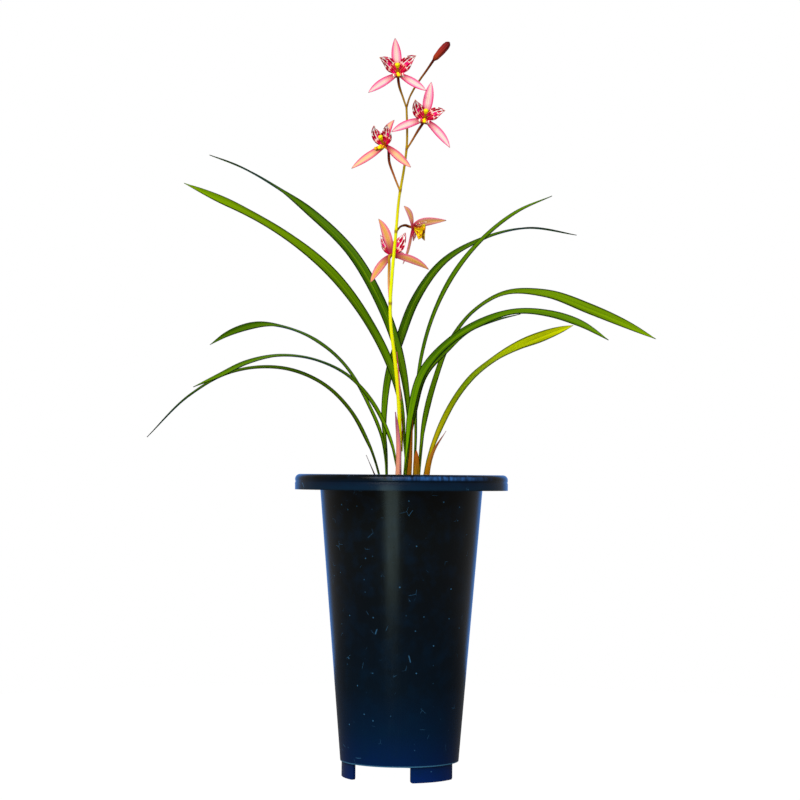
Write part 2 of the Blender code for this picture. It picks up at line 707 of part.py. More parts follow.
def root_solids(grow):
    """Thick roots that leave the bulbs at even headings and run down through the mix."""
    draw = random.Random(ROOT_SEED)
    down = Vector((0.0, 0.0, -1.0))
    solids = []
    for i in range(ROOT_COUNT):
        heading = 2 * math.pi * (i + 0.5 * draw.random()) / ROOT_COUNT
        out = Vector((math.cos(heading), math.sin(heading), 0.0))
        start = max(BULBS.values(), key=lambda place: Vector((*place, 0.0)).dot(out))
        depth = draw.uniform(*ROOT_DEPTHS)
        reach = draw.uniform(*ROOT_REACHES)
        base = Vector((*start, ROOT_TOP))
        stations = [base]
        stations += [base + out * reach * far + down * depth * deep for far, deep in ROOT_COURSE]
        stations += [base + out * reach + down * (depth + grow)]
        route = smooth_route([tuple(point) for point in stations], ROOT_ROWS)
        radii = np.linspace(ROOT_RADIUS, ROOT_RADIUS * ROOT_TIP_SHARE, len(route)) + grow
        solids.append(tube("root", route, radii, ROOT_SIDES))
    return solids


def plant_base(name, grow=0.0):
    """Rhizome, pseudobulbs and roots, grown as one piece; grow makes the hole they fill."""
    solids = bulb_solids(grow) + rhizome_solids(grow) + root_solids(grow)
    first = solids.pop(0)
    first.name = name
    join_solids(first, solids)
    return first


def bark_chip(draw, place, tilt):
    """Rough flat chip of bark: a squashed box with its corners pulled about."""
    editor = bmesh.new()
    bmesh.ops.create_cube(editor, size=1.0)
    turn = draw.uniform(0.0, math.pi)
    size = [length * draw.uniform(0.75, 1.15) for length in CHIP_SIZE]
    for vert in editor.verts:
        x, y, z = (vert.co[k] * size[k] * draw.uniform(0.75, 1.2) for k in range(3))
        z += x * tilt
        vert.co = Vector((
            place[0] + x * math.cos(turn) - y * math.sin(turn),
            place[1] + x * math.sin(turn) + y * math.cos(turn),
            place[2] + z,
        ))
    bmesh.ops.triangulate(editor, faces=editor.faces[:])
    return add_object("chip", editor)


def mix_height(radius):
    """The mix is heaped a little towards the plant."""
    return MIX_TOP + MIX_DOME * (1.0 - (radius / BODY_TOP_RADIUS) ** 2)


def stem_places():
    """Places in plan that the chips are kept clear of."""
    return list(BULBS.values()) + [SCAPE[0][:2]] + [row[1] for row in SHEATHS.values()]


def bark_chips():
    draw = random.Random(CHIP_SEED)
    reach = body_radius(MIX_TOP) - WALL - SEAT_GAP - CHIP_FROM_WALL
    chips = []
    for i in range(CHIP_COUNT):
        radius = reach * math.sqrt((i + 0.5) / CHIP_COUNT)
        angle = GOLDEN_ANGLE * i
        place = (radius * math.cos(angle), radius * math.sin(angle))
        tilt = draw.uniform(-CHIP_TILT, CHIP_TILT)
        nearest = min(math.dist(place, stem) for stem in stem_places())
        if nearest > CHIP_CLEARANCE:
            chips.append(bark_chip(draw, (*place, mix_height(radius) - CHIP_SINK), tilt))
    return chips


def stem_holes():
    """Plain round holes for the flower stem and the dry sheaths."""
    x, y, foot, radius = SCAPE[0]
    ends = ((x, y, foot - SEAT_GAP), (x + STEM_HOLE_LEAN, y, foot + STEM_HOLE_HEIGHT))
    holes = [tube("hole", ends, (radius + STEM_HOLE_PLAY,) * 2, STEM_HOLE_SIDES)]
    for width, base, middle, tip in SHEATHS.values():
        ends = ((*base, SHEATH_FOOT - SEAT_GAP), (*base, SHEATH_FOOT + SHEATH_HOLE_HEIGHT))
        holes.append(tube("hole", ends, (width / 2 + SHEATH_HOLE_PLAY,) * 2, SHEATH_HOLE_SIDES))
    return holes


def make_growing_mix():
    floor = FLOOR_TOP + SEAT_GAP
    edge = mix_height(MIX_EDGE_RADIUS)
    section = (
        (0.0, floor),
        (body_radius(floor) - WALL - MIX_SIDE_GAP, floor),
        (body_radius(edge) - WALL - MIX_SIDE_GAP, edge),
        (0.0, mix_height(0.0)),
    )
    mix = turned("growing_mix", section, POT_SIDES, closed=False)
    join_solids(mix, bark_chips())
    join_solids(mix, [plant_base("hole", SEAT_GAP)] + stem_holes(), "DIFFERENCE")
    keep_largest_body(mix)
    finish(mix, "orchid bark mix", MIX_COLOUR, 0.92)


def leaf_width(share, width):
    """Width of a strap leaf: narrow at its folded base, widest past the middle, pointed."""
    swell = math.sin(math.pi / 2 * min(1.0, share / LEAF_SWELL_END)) ** LEAF_SWELL_POWER
    taper = max(0.0, (share - LEAF_TAPER_START) / (1.0 - LEAF_TAPER_START))
    full = width * (LEAF_BASE_WIDTH + (1 - LEAF_BASE_WIDTH) * swell)
    return max(full * (1.0 - taper ** LEAF_TAPER_POWER), LEAF_TIP_WIDTH)


def make_leaf(name, width, stations):
    route = smooth_route(stations, LEAF_ROWS)
    points = [Vector(row[:3]) for row in route]
    along = tangents(route[:, :3])
    along[0] = Vector((0.0, 0.0, 1.0))
    goes_right = stations[-1][0] > stations[0][0]
    depth = Vector((0.0, 1.0, 0.0))
    sides, faces, widths, folds = [], [], [], []
    for i, heading in enumerate(along):
        level = (depth - heading * heading.dot(depth)).normalized()
        upper = heading.cross(level) if goes_right else level.cross(heading)
        turn = math.radians(route[i][3])
        face = upper * math.cos(turn) - level * math.sin(turn)
        share = i / (LEAF_ROWS - 1)
        fall = math.exp(-LEAF_FOLD_FALL * share)
        faces.append(face)
        sides.append(heading.cross(face))
        widths.append(leaf_width(share, width))
        folds.append(LEAF_OPEN_FOLD + (LEAF_BASE_FOLD - LEAF_OPEN_FOLD) * fall)
    leaf = blade(name, points, sides, faces, widths, folds, LEAF_COLUMNS, LEAF_THICKNESS)
    finish(leaf, name, PALE_LEAF_COLOUR if name == PALE_LEAF else LEAF_COLOUR, 0.42)


def make_sheath(name, width, base, middle, tip):
    """Narrow pointed blade that stands in the mix and leans to its tip."""
    stations = ((*base, SHEATH_FOOT), (*base, MIX_TOP + MIX_DOME), middle, tip)
    route = smooth_route(stations, SHEATH_ROWS)
    points = [Vector(row) for row in route]
    along = tangents(route)
    along[0] = Vector((0.0, 0.0, 1.0))
    front = Vector((0.0, -1.0, 0.0))
    sides = [heading.cross(front).normalized() for heading in along]
    faces = [side.cross(heading) for side, heading in zip(sides, along)]
    shares = np.linspace(0.0, 1.0, SHEATH_ROWS)
    taper = SHEATH_TAPERS.get(name, SHEATH_TAPER_POWER)
    widths = [max(width * (1.0 - share ** taper), LEAF_TIP_WIDTH) for share in shares]
    folds = [SHEATH_FOLD] * SHEATH_ROWS
    sheath = blade(name, points, sides, faces, widths, folds, 2, SHEATH_THICKNESS)
    finish(sheath, name, SHEATH_COLOUR, 0.70)


def scape_at(height):
    """Centre and radius of the flower stem at a height."""
    route = smooth_route(SCAPE, 200)
    x, y, radius = (float(np.interp(height, route[:, 2], route[:, k])) for k in (0, 1, 3))
    return Vector((x, y, height)), radius


def make_scape():
    route = smooth_route(SCAPE, SCAPE_ROWS)
    scape = tube("scape", route[:, :3], route[:, 3], SCAPE_SIDES)
    finish(scape, "flower stem", SCAPE_COLOUR, 0.45)


def make_scape_bract(name, low, high, heading, wrap, flare):
    """Pointed sheath that wraps part of the way round the flower stem."""
    editor = bmesh.new()
    bmesh.ops.create_grid(editor, x_segments=BRACT_COLUMNS, y_segments=BRACT_ROWS - 1, size=1.0)
    for vert in editor.verts:
        share = (vert.co.y + 1.0) / 2.0
        centre, radius = scape_at(low + share * (high - low))
        reach = radius / math.cos(math.pi / SCAPE_SIDES) + SEAT_GAP + BRACT_THICKNESS * 0.6
        reach += flare * share ** 3
        half = math.radians(wrap / 2) * max(1.0 - share ** BRACT_TAPER_POWER, BRACT_TIP_SHARE)
        angle = math.radians(heading) + half * vert.co.x
        vert.co = centre + Vector((math.cos(angle), math.sin(angle), 0.0)) * reach
    bract = thicken(name, editor, BRACT_THICKNESS)
    finish(bract, name, BRACT_COLOUR, 0.60)


def flower_axes(flower):
    """Centre, forward, up and right of a flower; up leans to its upper sepal."""
    forward = Vector(flower["faces"]).normalized()
    up = Vector(flower["sepals"][0])
    up = (up - forward * up.dot(forward)).normalized()
    return Vector(flower["centre"]), forward, up, up.cross(forward)


def tepal(name, flower, tip, level, width, cup, bow):
    """One sepal or petal: it leaves the hub flat, then bends to its tip.

    Its bow lifts the middle of its length to the side, towards the upper sepal; the upper
    sepal's own bow is to the flower's right.
    """
    centre, forward, up, right = flower_axes(flower)
    root = centre + forward * level
    reach = Vector(tip)
    end = centre + reach
    spread = reach - forward * reach.dot(forward)
    outward = spread.normalized()
    lift = up - outward * up.dot(outward)
    lift = lift.normalized() if lift.length > LEAST_LIFT else right
    bend = root + spread * TEPAL_BEND + lift * bow * spread.length
    low, rise, power, roundness = TEPAL_BELLY
    route, widths, folds = [], [], []
    for share in np.linspace(0.0, 1.0, TEPAL_ROWS):
        point = root * (1 - share) ** 2 + bend * 2 * share * (1 - share) + end * share ** 2
        route.append(point + outward * TEPAL_ROOT * (1 - share))
        belly = math.sin(math.pi * (low + rise * share ** power)) ** roundness
        widths.append(max(width * belly, TEPAL_TIP_WIDTH))
        folds.append(cup * share)
    along = tangents([tuple(point) for point in route])
    sides = [heading.cross(forward).normalized() for heading in along]
    faces = [side.cross(heading) for side, heading in zip(sides, along)]
    return blade(name, route, sides, faces, widths, folds, TEPAL_COLUMNS, TEPAL_THICKNESS)


def tepal_ring(name, flower, kind, level, widths, cup, bows):
    """Sepals or petals with the small hub that joins them, as one solid."""
    centre, forward, up, right = flower_axes(flower)
    middle = centre + forward * level
    ends = [tuple(middle + forward * step * HUB_THICKNESS / 2) for step in (-1, 1)]
    hub = tube(name, ends, (HUB_RADIUS,) * 2, HUB_SIDES)
    rows = zip(flower[kind], widths, bows)
    tepals = [tepal("tepal", flower, tip, level, width, cup, bow) for tip, width, bow in rows]
    join_solids(hub, tepals)
    return hub


def make_column(name, flower):
    centre, forward, up, right = flower_axes(flower)
    points = [tuple(centre + up * rise + forward * out) for rise, out in COLUMN_ROUTE]
    column = tube(name, points, COLUMN_RADII, COLUMN_SIDES)
    finish(column, name, COLUMN_COLOUR, 0.45)


def make_lip(name, flower):
    """Lip: side lobes stand up beside the column, then the tongue bends down."""
    centre, forward, up, right = flower_axes(flower)
    scale = flower.get("lip_scale", 1.0)
    route = smooth_route([(0.0, rise, out) for rise, out in LIP_ROUTE], LIP_ROWS) * scale
    points = [centre + up * rise + forward * out for unused, rise, out in route]
    along = tangents([tuple(point) for point in points])
    shares = np.linspace(0.0, 1.0, LIP_ROWS)
    knots = np.linspace(0.0, 1.0, len(LIP_WIDTHS))
    widths = np.interp(shares, knots, LIP_WIDTHS) * scale
    cups = np.interp(shares, knots, LIP_CUPS)
    faces = [right.cross(heading).normalized() for heading in along]
    lip = blade(name, points, [right] * LIP_ROWS, faces, widths, cups, LIP_COLUMNS, TEPAL_THICKNESS)
    finish(lip, name, LIP_COLOUR, 0.50)


def joint_place(flower):
    """Start of a stalk: a point, or the height where it leaves the flower stem's side."""
    joint = flower["joint"]
    if isinstance(joint, tuple):
        return joint
    middle, radius = scape_at(joint)
    out = Vector(flower["stalk"][0]) - middle
    out = Vector((out.x, out.y, 0.0)).normalized()
    return tuple(middle + out * (radius + SEAT_GAP + STALK_RADII[0]))


def make_stalk(name, flower):
    """Stalk and ovary, from the flower stem to the back of the flower."""
    centre, forward, up, right = flower_axes(flower)
    end = centre + forward * STALK_LEVEL
    stations = [joint_place(flower), *flower["stalk"], tuple(end - forward * STALK_STRAIGHT), tuple(end)]
    route = smooth_route(stations, STALK_ROWS)
    shares = np.linspace(0.0, 1.0, STALK_ROWS)
    radii = np.interp(shares, np.linspace(0.0, 1.0, len(STALK_RADII)), STALK_RADII)
    stalk = tube(name, route, radii, STALK_SIDES, last_heading=forward)
    finish(stalk, name, STALK_COLOUR, 0.50)


def make_flower(name, flower):
    make_stalk(name + "_stalk", flower)
    sepals = tepal_ring(name + "_sepals", flower, "sepals", SEPAL_LEVEL, SEPAL_WIDTHS, SEPAL_CUP,
                        flower["sepal_bows"])
    finish(sepals, name + "_sepals", SEPAL_COLOUR, 0.50)
    petals = tepal_ring(name + "_petals", flower, "petals", PETAL_LEVEL, flower["petal_widths"],
                        PETAL_CUP, flower["petal_bows"])
    finish(petals, name + "_petals", PETAL_COLOUR, 0.50)
    make_lip(name + "_lip", flower)
    make_column(name + "_column", flower)


def make_bud():
    route = smooth_route(BUD_STALK, BUD_STALK_ROWS)
    shares = np.linspace(0.0, 1.0, BUD_STALK_ROWS)
    radii = np.interp(shares, np.linspace(0.0, 1.0, len(BUD_STALK_RADII)), BUD_STALK_RADII)
    stalk = tube("bud_stalk", route, radii, STALK_SIDES)
    finish(stalk, "bud_stalk", BUD_STALK_COLOUR, 0.50)
    base = Vector(BUD_STALK[-1])
    heading = (Vector(BUD_TIP) - base).normalized()
    start = base + heading * SEAT_GAP
    length = (Vector(BUD_TIP) - start).length
    points = [tuple(start + heading * length * share) for share in BUD_SHARES]
    bud = tube("bud", points, BUD_RADII, BUD_SIDES)
    finish(bud, "bud", BUD_COLOUR, 0.50)


def build():
    clear_scene()
    make_pot()
    make_growing_mix()
    base = plant_base("pseudobulbs_and_roots")
    finish(base, "pseudobulbs and roots", BASE_COLOUR, 0.60)
    for name, (width, stations) in LEAVES.items():
        make_leaf(name, width, stations)
    for name, (width, base, middle, tip) in SHEATHS.items():
        make_sheath(name, width, base, middle, tip)
    make_scape()
    for name, (low, high, heading, wrap, flare) in SCAPE_BRACTS.items():
        make_scape_bract(name, low, high, heading, wrap, flare)
    for name, flower in FLOWERS.items():
        make_flower(name, flower)
    make_bud()


build()
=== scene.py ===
"""Potted four-season orchid in bloom: a tall black pot, bark, pseudobulbs, eleven strap leaves,
dry sheaths and one flower stem with five open flowers and a bud. Metres, +Z up.
"""
import json
import math
import random

import bmesh
import bpy
import numpy as np
from mathutils import Matrix, Vector

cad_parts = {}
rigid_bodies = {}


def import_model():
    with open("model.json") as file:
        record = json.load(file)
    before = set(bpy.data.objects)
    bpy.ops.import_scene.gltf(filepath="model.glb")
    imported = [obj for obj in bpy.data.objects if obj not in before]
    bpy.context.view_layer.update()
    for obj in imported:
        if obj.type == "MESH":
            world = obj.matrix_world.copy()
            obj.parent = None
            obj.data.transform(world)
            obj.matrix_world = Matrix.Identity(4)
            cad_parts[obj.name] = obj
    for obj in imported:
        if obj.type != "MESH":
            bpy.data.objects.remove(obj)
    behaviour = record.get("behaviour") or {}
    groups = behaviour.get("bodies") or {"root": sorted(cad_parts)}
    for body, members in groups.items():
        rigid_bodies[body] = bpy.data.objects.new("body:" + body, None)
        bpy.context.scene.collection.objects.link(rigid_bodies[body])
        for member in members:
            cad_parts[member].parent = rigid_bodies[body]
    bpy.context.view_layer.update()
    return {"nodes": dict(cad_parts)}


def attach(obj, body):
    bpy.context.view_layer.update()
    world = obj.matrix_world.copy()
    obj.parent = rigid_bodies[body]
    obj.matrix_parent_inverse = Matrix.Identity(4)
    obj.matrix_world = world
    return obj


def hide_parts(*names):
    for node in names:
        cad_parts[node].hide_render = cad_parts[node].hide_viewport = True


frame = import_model()

# The studio. The plant stands on a white light table in a white room. A broad lamp lights it from
# above, a tall strip lamp beside the camera lays a soft reflection on the pot, and a blue-white
# window behind edges it in blue. The camera, at rim height with a long lens, looks slightly up.
CAMERA_PLACE = (-0.0018, -1.8705, 0.260)
CAMERA_PITCH = 1.985
CAMERA_ROLL = 0.43
CAMERA_LENS = 96.8
CAMERA_SENSOR = 36.0
CAMERA_REACH = 60.0
TABLE_RADIUS = 0.80
TABLE_SIDES = 64
TABLE_GLOW = (0.12, 1.0)
ROOM_LIGHT = 0.38
WINDOW_LIGHT = 1.5
WINDOW_EDGES = (0.78, 0.86)
KEY_STRENGTH = 2.3
KEY_SPREAD = 40
KEY_TURN = (46, 0, -18)
STRIP_PLACE = (-0.46, -1.90, 0.25)
STRIP_SIZE = (0.62, 1.30)
STRIP_POWER = 12.0
STRIP_AIM = (0.0, 0.0, 0.40)


def colour(code):
    """Linear colour of an sRGB hex code such as #8FA03C."""
    parts = [int(code[i:i + 2], 16) / 255 for i in (1, 3, 5)]
    linear = [part / 12.92 if part <= 0.04045 else ((part + 0.055) / 1.055) ** 2.4 for part in parts]
    return linear + [1.0]


def add(tree, kind, settings, links=None, out=0):
    """Adds a shader node and returns one of its outputs. Settings are its own values, its ramp's
    stops or its sockets' values, and links are the sockets that feed it.
    """
    node = tree.nodes.new("ShaderNode" + kind)
    for key, value in settings.items():
        if key == "stops":
            ramp = node.color_ramp
            ramp.elements.remove(ramp.elements[1])
            ramp.elements[0].position = value[0][0]
            ramp.elements[0].color = colour(value[0][1])
            for place, code in value[1:]:
                ramp.elements.new(place).color = colour(code)
        elif isinstance(key, str) and hasattr(node, key):
            setattr(node, key, value)
        else:
            node.inputs[key].default_value = value
    for key, socket in (links or {}).items():
        tree.links.new(socket, node.inputs[key])
    return node.outputs[out]


def new_material(name, roughness, gloss, others=None):
    """A material with one Principled shader, its roughness, specular level and other settings.
    Returns it with its tree.
    """
    made = bpy.data.materials.new(name)
    made.use_nodes = True
    settings = {"Roughness": roughness, "Specular IOR Level": gloss, **(others or {})}
    for key, value in settings.items():
        made.node_tree.nodes["Principled BSDF"].inputs[key].default_value = value
    return made, made.node_tree


def cover(made, links, height=None, strength=0.0, depth=0.0002):
    """Links a material's shader, with fine relief where a height pattern is given; returns it."""
    tree = made.node_tree
    if height:
        settings = {"Strength": strength, "Distance": depth}
        links = {**links, "Normal": add(tree, "Bump", settings, {"Height": height})}
    for key, socket in links.items():
        tree.links.new(socket, tree.nodes["Principled BSDF"].inputs[key])
    return made


def put(name, data):
    """Adds an object with its data to the scene."""
    placed = bpy.data.objects.new(name, data)
    bpy.context.scene.collection.objects.link(placed)
    return placed


def new_piece(name, editor, material):
    """Turns a bmesh into a smooth-shaded object with its material."""
    mesh = bpy.data.meshes.new(name)
    editor.to_mesh(mesh)
    editor.free()
    mesh.shade_smooth()
    mesh.materials.append(material)
    return put(name, mesh)


def set_up_studio():
    camera = put("camera", bpy.data.cameras.new("camera"))
    camera.data.lens = CAMERA_LENS
    camera.data.sensor_width = CAMERA_SENSOR
    camera.data.clip_end = CAMERA_REACH
    turn = Matrix.Rotation(math.radians(90 + CAMERA_PITCH), 4, "X")
    roll = Matrix.Rotation(math.radians(CAMERA_ROLL), 4, "Z")
    camera.matrix_world = Matrix.Translation(CAMERA_PLACE) @ turn @ roll
    bpy.context.scene.camera = camera
    bpy.context.scene.view_settings.view_transform = "Standard"

    key = put("key_lamp", bpy.data.lights.new("key_lamp", "SUN"))
    key.data.energy = KEY_STRENGTH
    key.data.angle = math.radians(KEY_SPREAD)
    key.rotation_euler = [math.radians(turn) for turn in KEY_TURN]
    strip = put("strip_lamp", bpy.data.lights.new("strip_lamp", "AREA"))
    strip.data.shape = "RECTANGLE"
    strip.data.size, strip.data.size_y = STRIP_SIZE
    strip.data.energy = STRIP_POWER
    strip.data.color = colour("#DCFFF8")[:3]
    strip.location = STRIP_PLACE
    aim = Vector(STRIP_AIM) - Vector(STRIP_PLACE)
    strip.rotation_euler = aim.to_track_quat("-Z", "Y").to_euler()

    world = bpy.data.worlds.new("white room")
    world.use_nodes = True
    tree = world.node_tree
    room = tree.nodes["Background"]
    room.inputs["Color"].default_value = colour("#FFFFFF")
    room.inputs["Strength"].default_value = ROOM_LIGHT
    low, high = WINDOW_EDGES
    heading = add(tree, "TexCoord", {}, out="Generated")
    depth = add(tree, "SeparateXYZ", {}, {0: heading}, 1)
    behind = add(tree, "MapRange", {"From Min": low, "From Max": high}, {"Value": depth})
    window = add(tree, "Background", {"Color": colour("#6FA4F4"), "Strength": WINDOW_LIGHT})
    around = add(tree, "MixShader", {}, {0: behind, 1: room.outputs[0], 2: window})
    backdrop = add(tree, "Background", {"Color": colour("#FFFFFF"), "Strength": 1.0})
    seen = add(tree, "LightPath", {}, out="Is Camera Ray")
    mixed = add(tree, "MixShader", {}, {0: seen, 1: around, 2: backdrop})
    tree.links.new(mixed, tree.nodes["World Output"].inputs["Surface"])
    bpy.context.scene.world = world

    # White acrylic, lit from below, so no shadow shows on it; it casts little light itself
    colours = {"Base Color": colour("#303030"), "Emission Color": colour("#FFFFFF")}
    acrylic, tree = new_material("lit white acrylic table", 0.9, 0.0, colours)
    dim, bright = TABLE_GLOW
    seen = add(tree, "LightPath", {}, out="Is Camera Ray")
    glow = add(tree, "MapRange", {"To Min": dim, "To Max": bright}, {"Value": seen})
    editor = bmesh.new()
    bmesh.ops.create_circle(editor, cap_ends=True, segments=TABLE_SIDES, radius=TABLE_RADIUS)
    new_piece("light_table", editor, cover(acrylic, {"Emission Strength": glow}))


set_up_studio()

# The pot. A tall, thin-walled pot of black polypropylene, moulded in one piece: a tapered body,
# a flat rim ledge with a rounded top edge and a groove round its band, and three curved feet
# under the wall, with drain holes through its floor.
POT_HEIGHT = 0.260
RIM_RADIUS = 0.0924
RIM_BAND = 0.0134
RIM_ROUND = 0.0044
RIM_ROUND_STEPS = 7
RIM_LEDGE = 0.0014
GROOVE_DEPTH = 0.0004
GROOVE_HEIGHT = 0.0009
BODY_TOP_RADIUS = 0.0704
BODY_BASE_RADIUS = 0.0512
WALL = 0.0022
POT_FLOOR = (0.0134, 0.0160)
FOOT_OUTER_RADIUS = 0.0500
FOOT_THICKNESS = 0.0026
FOOT_SPAN = 54
FOOT_STARTS = (25, 142, 265)
FOOT_CORNER = 0.0020
FOOT_CORNER_STEPS = 5
MOULDED_EDGE = 0.0004
MOULDED_EDGE_TURN = 28
# Centre of a painted blue highlight on the rim's rounded edge
RIM_PAINTED_HIGHLIGHT = (0.0330, -0.0860, 0.2568)
# Height of a painted highlight along the body's lower edge
BODY_EDGE_PAINTED_HIGHLIGHT = POT_FLOOR[0] + 0.0004
MERGE_GAP = 0.000002
POT_STEPS = 144
FOOT_STEPS = 24
DRAIN_STEPS = 24
CUTTER_DEPTH = 0.010
ON_THE_GROUND = 0.0001
DRAIN_RING = 0.030
DRAINS = ((0.0, 0.0, 0.0120),) + tuple(
    (DRAIN_RING * math.cos(turn), DRAIN_RING * math.sin(turn), 0.0045)
    for turn in map(math.radians, range(30, 360, 60))
)
# Hues up the pot: near black, with a painted blue reflection low on the body and on the rim band, and a
# painted shadow just under the rim
POT_HUES_WITH_PAINTED_LIGHT = ((0.0, "#032260"), (0.06, "#021E48"), (0.16, "#021A34"), (0.30, "#05121E"),
            (0.45, "#060F18"), (0.62, "#060B10"), (0.83, "#060A0C"), (0.925, "#020302"),
            (0.944, "#020302"), (0.954, "#021C30"), (0.970, "#021428"), (0.988, "#020405"),
            (1.0, "#020303"))


def body_radius(height):
    """Outer radius of the pot's tapered body at a height."""
    share = (height - POT_FLOOR[0]) / (POT_HEIGHT - RIM_BAND - POT_FLOOR[0])
    return BODY_BASE_RADIUS + share * (BODY_TOP_RADIUS - BODY_BASE_RADIUS)


def pot_profile():
    """Half section from the foot of the wall round the rim and down inside to the drain."""
    band = POT_HEIGHT - RIM_BAND
    groove = POT_HEIGHT - RIM_BAND / 2
    web = POT_HEIGHT - WALL
    corner = [
        (RIM_RADIUS - RIM_ROUND * (1 - math.cos(turn)), POT_HEIGHT - RIM_ROUND * (1 - math.sin(turn)))
        for turn in np.radians(np.linspace(0, 90, RIM_ROUND_STEPS))
    ]
    drain = DRAINS[0][2]
    return [
        (BODY_BASE_RADIUS, POT_FLOOR[0]),
        (body_radius(web), web),
        (RIM_RADIUS - WALL, web),
        (RIM_RADIUS - WALL, band),
        (RIM_RADIUS, band),
        (RIM_RADIUS, groove - GROOVE_HEIGHT),
        (RIM_RADIUS - GROOVE_DEPTH, groove),
        (RIM_RADIUS - GROOVE_DEPTH, groove + GROOVE_HEIGHT / 2),
        (RIM_RADIUS - GROOVE_DEPTH / 2, groove + GROOVE_HEIGHT),
        *corner,
        (body_radius(POT_HEIGHT) - WALL + RIM_LEDGE, POT_HEIGHT),
        (body_radius(web) - WALL, web),
        (body_radius(POT_FLOOR[1]) - WALL, POT_FLOOR[1]),
        (drain, POT_FLOOR[1]),
        (drain, POT_FLOOR[0]),
    ]


def spun(editor, section, closed=True, start=0.0, sweep=2 * math.pi, steps=POT_STEPS):
    """Spins a section of radii and heights round the pot's axis, from a start angle."""
    loop = [
        editor.verts.new((radius * math.cos(start), radius * math.sin(start), height))
        for radius, height in section
    ]
    ends = loop[1:] + loop[:1] if closed else loop[1:]
    edges = [editor.edges.new(pair) for pair in zip(loop, ends)]
    bmesh.ops.spin(editor, geom=edges, axis=(0, 0, 1), cent=(0, 0, 0), angle=sweep, steps=steps,
                   use_merge=sweep == 2 * math.pi)


def pour(part, editor):
    """Adds one bmesh to another."""
    mesh = bpy.data.meshes.new("part")
    part.to_mesh(mesh)
    part.free()
    editor.from_mesh(mesh)
    bpy.data.meshes.remove(mesh)


def weld(editor, gap=MERGE_GAP):
    """Merges corners that meet, closes open ends and turns all faces outward."""
    bmesh.ops.remove_doubles(editor, verts=editor.verts[:], dist=gap)
    bmesh.ops.holes_fill(editor, edges=[edge for edge in editor.edges if edge.is_boundary])
    bmesh.ops.recalc_face_normals(editor, faces=editor.faces[:])


def foot(start):
    """One curved foot with rounded lower corners. Angles run from +X towards -Y."""
    inner = FOOT_OUTER_RADIUS - FOOT_THICKNESS
    top = POT_FLOOR[1]
    section = ((FOOT_OUTER_RADIUS, 0.0), (FOOT_OUTER_RADIUS, top), (inner, top), (inner, 0.0))
    editor = bmesh.new()
    spun(editor, section, True, -math.radians(start), -math.radians(FOOT_SPAN), FOOT_STEPS)
    bmesh.ops.holes_fill(editor, edges=[edge for edge in editor.edges if edge.is_boundary])
    ends = {start, start + FOOT_SPAN}
    corners = []
    for edge in editor.edges:
        low = all(vert.co.z < ON_THE_GROUND for vert in edge.verts)
        turns = {round(-math.degrees(math.atan2(vert.co.y, vert.co.x))) % 360 for vert in edge.verts}
        if low and len(turns) == 1 and turns & ends:
            corners.append(edge)
    bmesh.ops.bevel(editor, geom=corners, offset=FOOT_CORNER, affect="EDGES",
                    segments=FOOT_CORNER_STEPS, profile=0.5, material=-1)
    bmesh.ops.recalc_face_normals(editor, faces=editor.faces[:])
    return editor


def tint(tree, base, code, value, low=0.0, high=1.0, top=1.0):
    """Lays a colour over a base where a value runs from low to high, at most to the top share."""
    share = add(tree, "MapRange", {"From Min": low, "From Max": high, "To Max": top}, {"Value": value})
    return add(tree, "Mix", {"data_type": "RGBA", 7: colour(code)}, {0: share, 6: base}, 2)


def height_gap(tree, height, level):
    """How far above or below a level a place is."""
    gap = add(tree, "Math", {"operation": "SUBTRACT", 1: level}, {0: height})
    return add(tree, "Math", {"operation": "ABSOLUTE"}, {0: gap})


def drawn_noise(tree, place, stretch, scale, detail):
    """Noise drawn out along the axes whose stretch is low."""
    drawn = add(tree, "Mapping", {"Scale": stretch}, {0: place})
    return add(tree, "TexNoise", {"Scale": scale, "Detail": detail}, {"Vector": drawn})


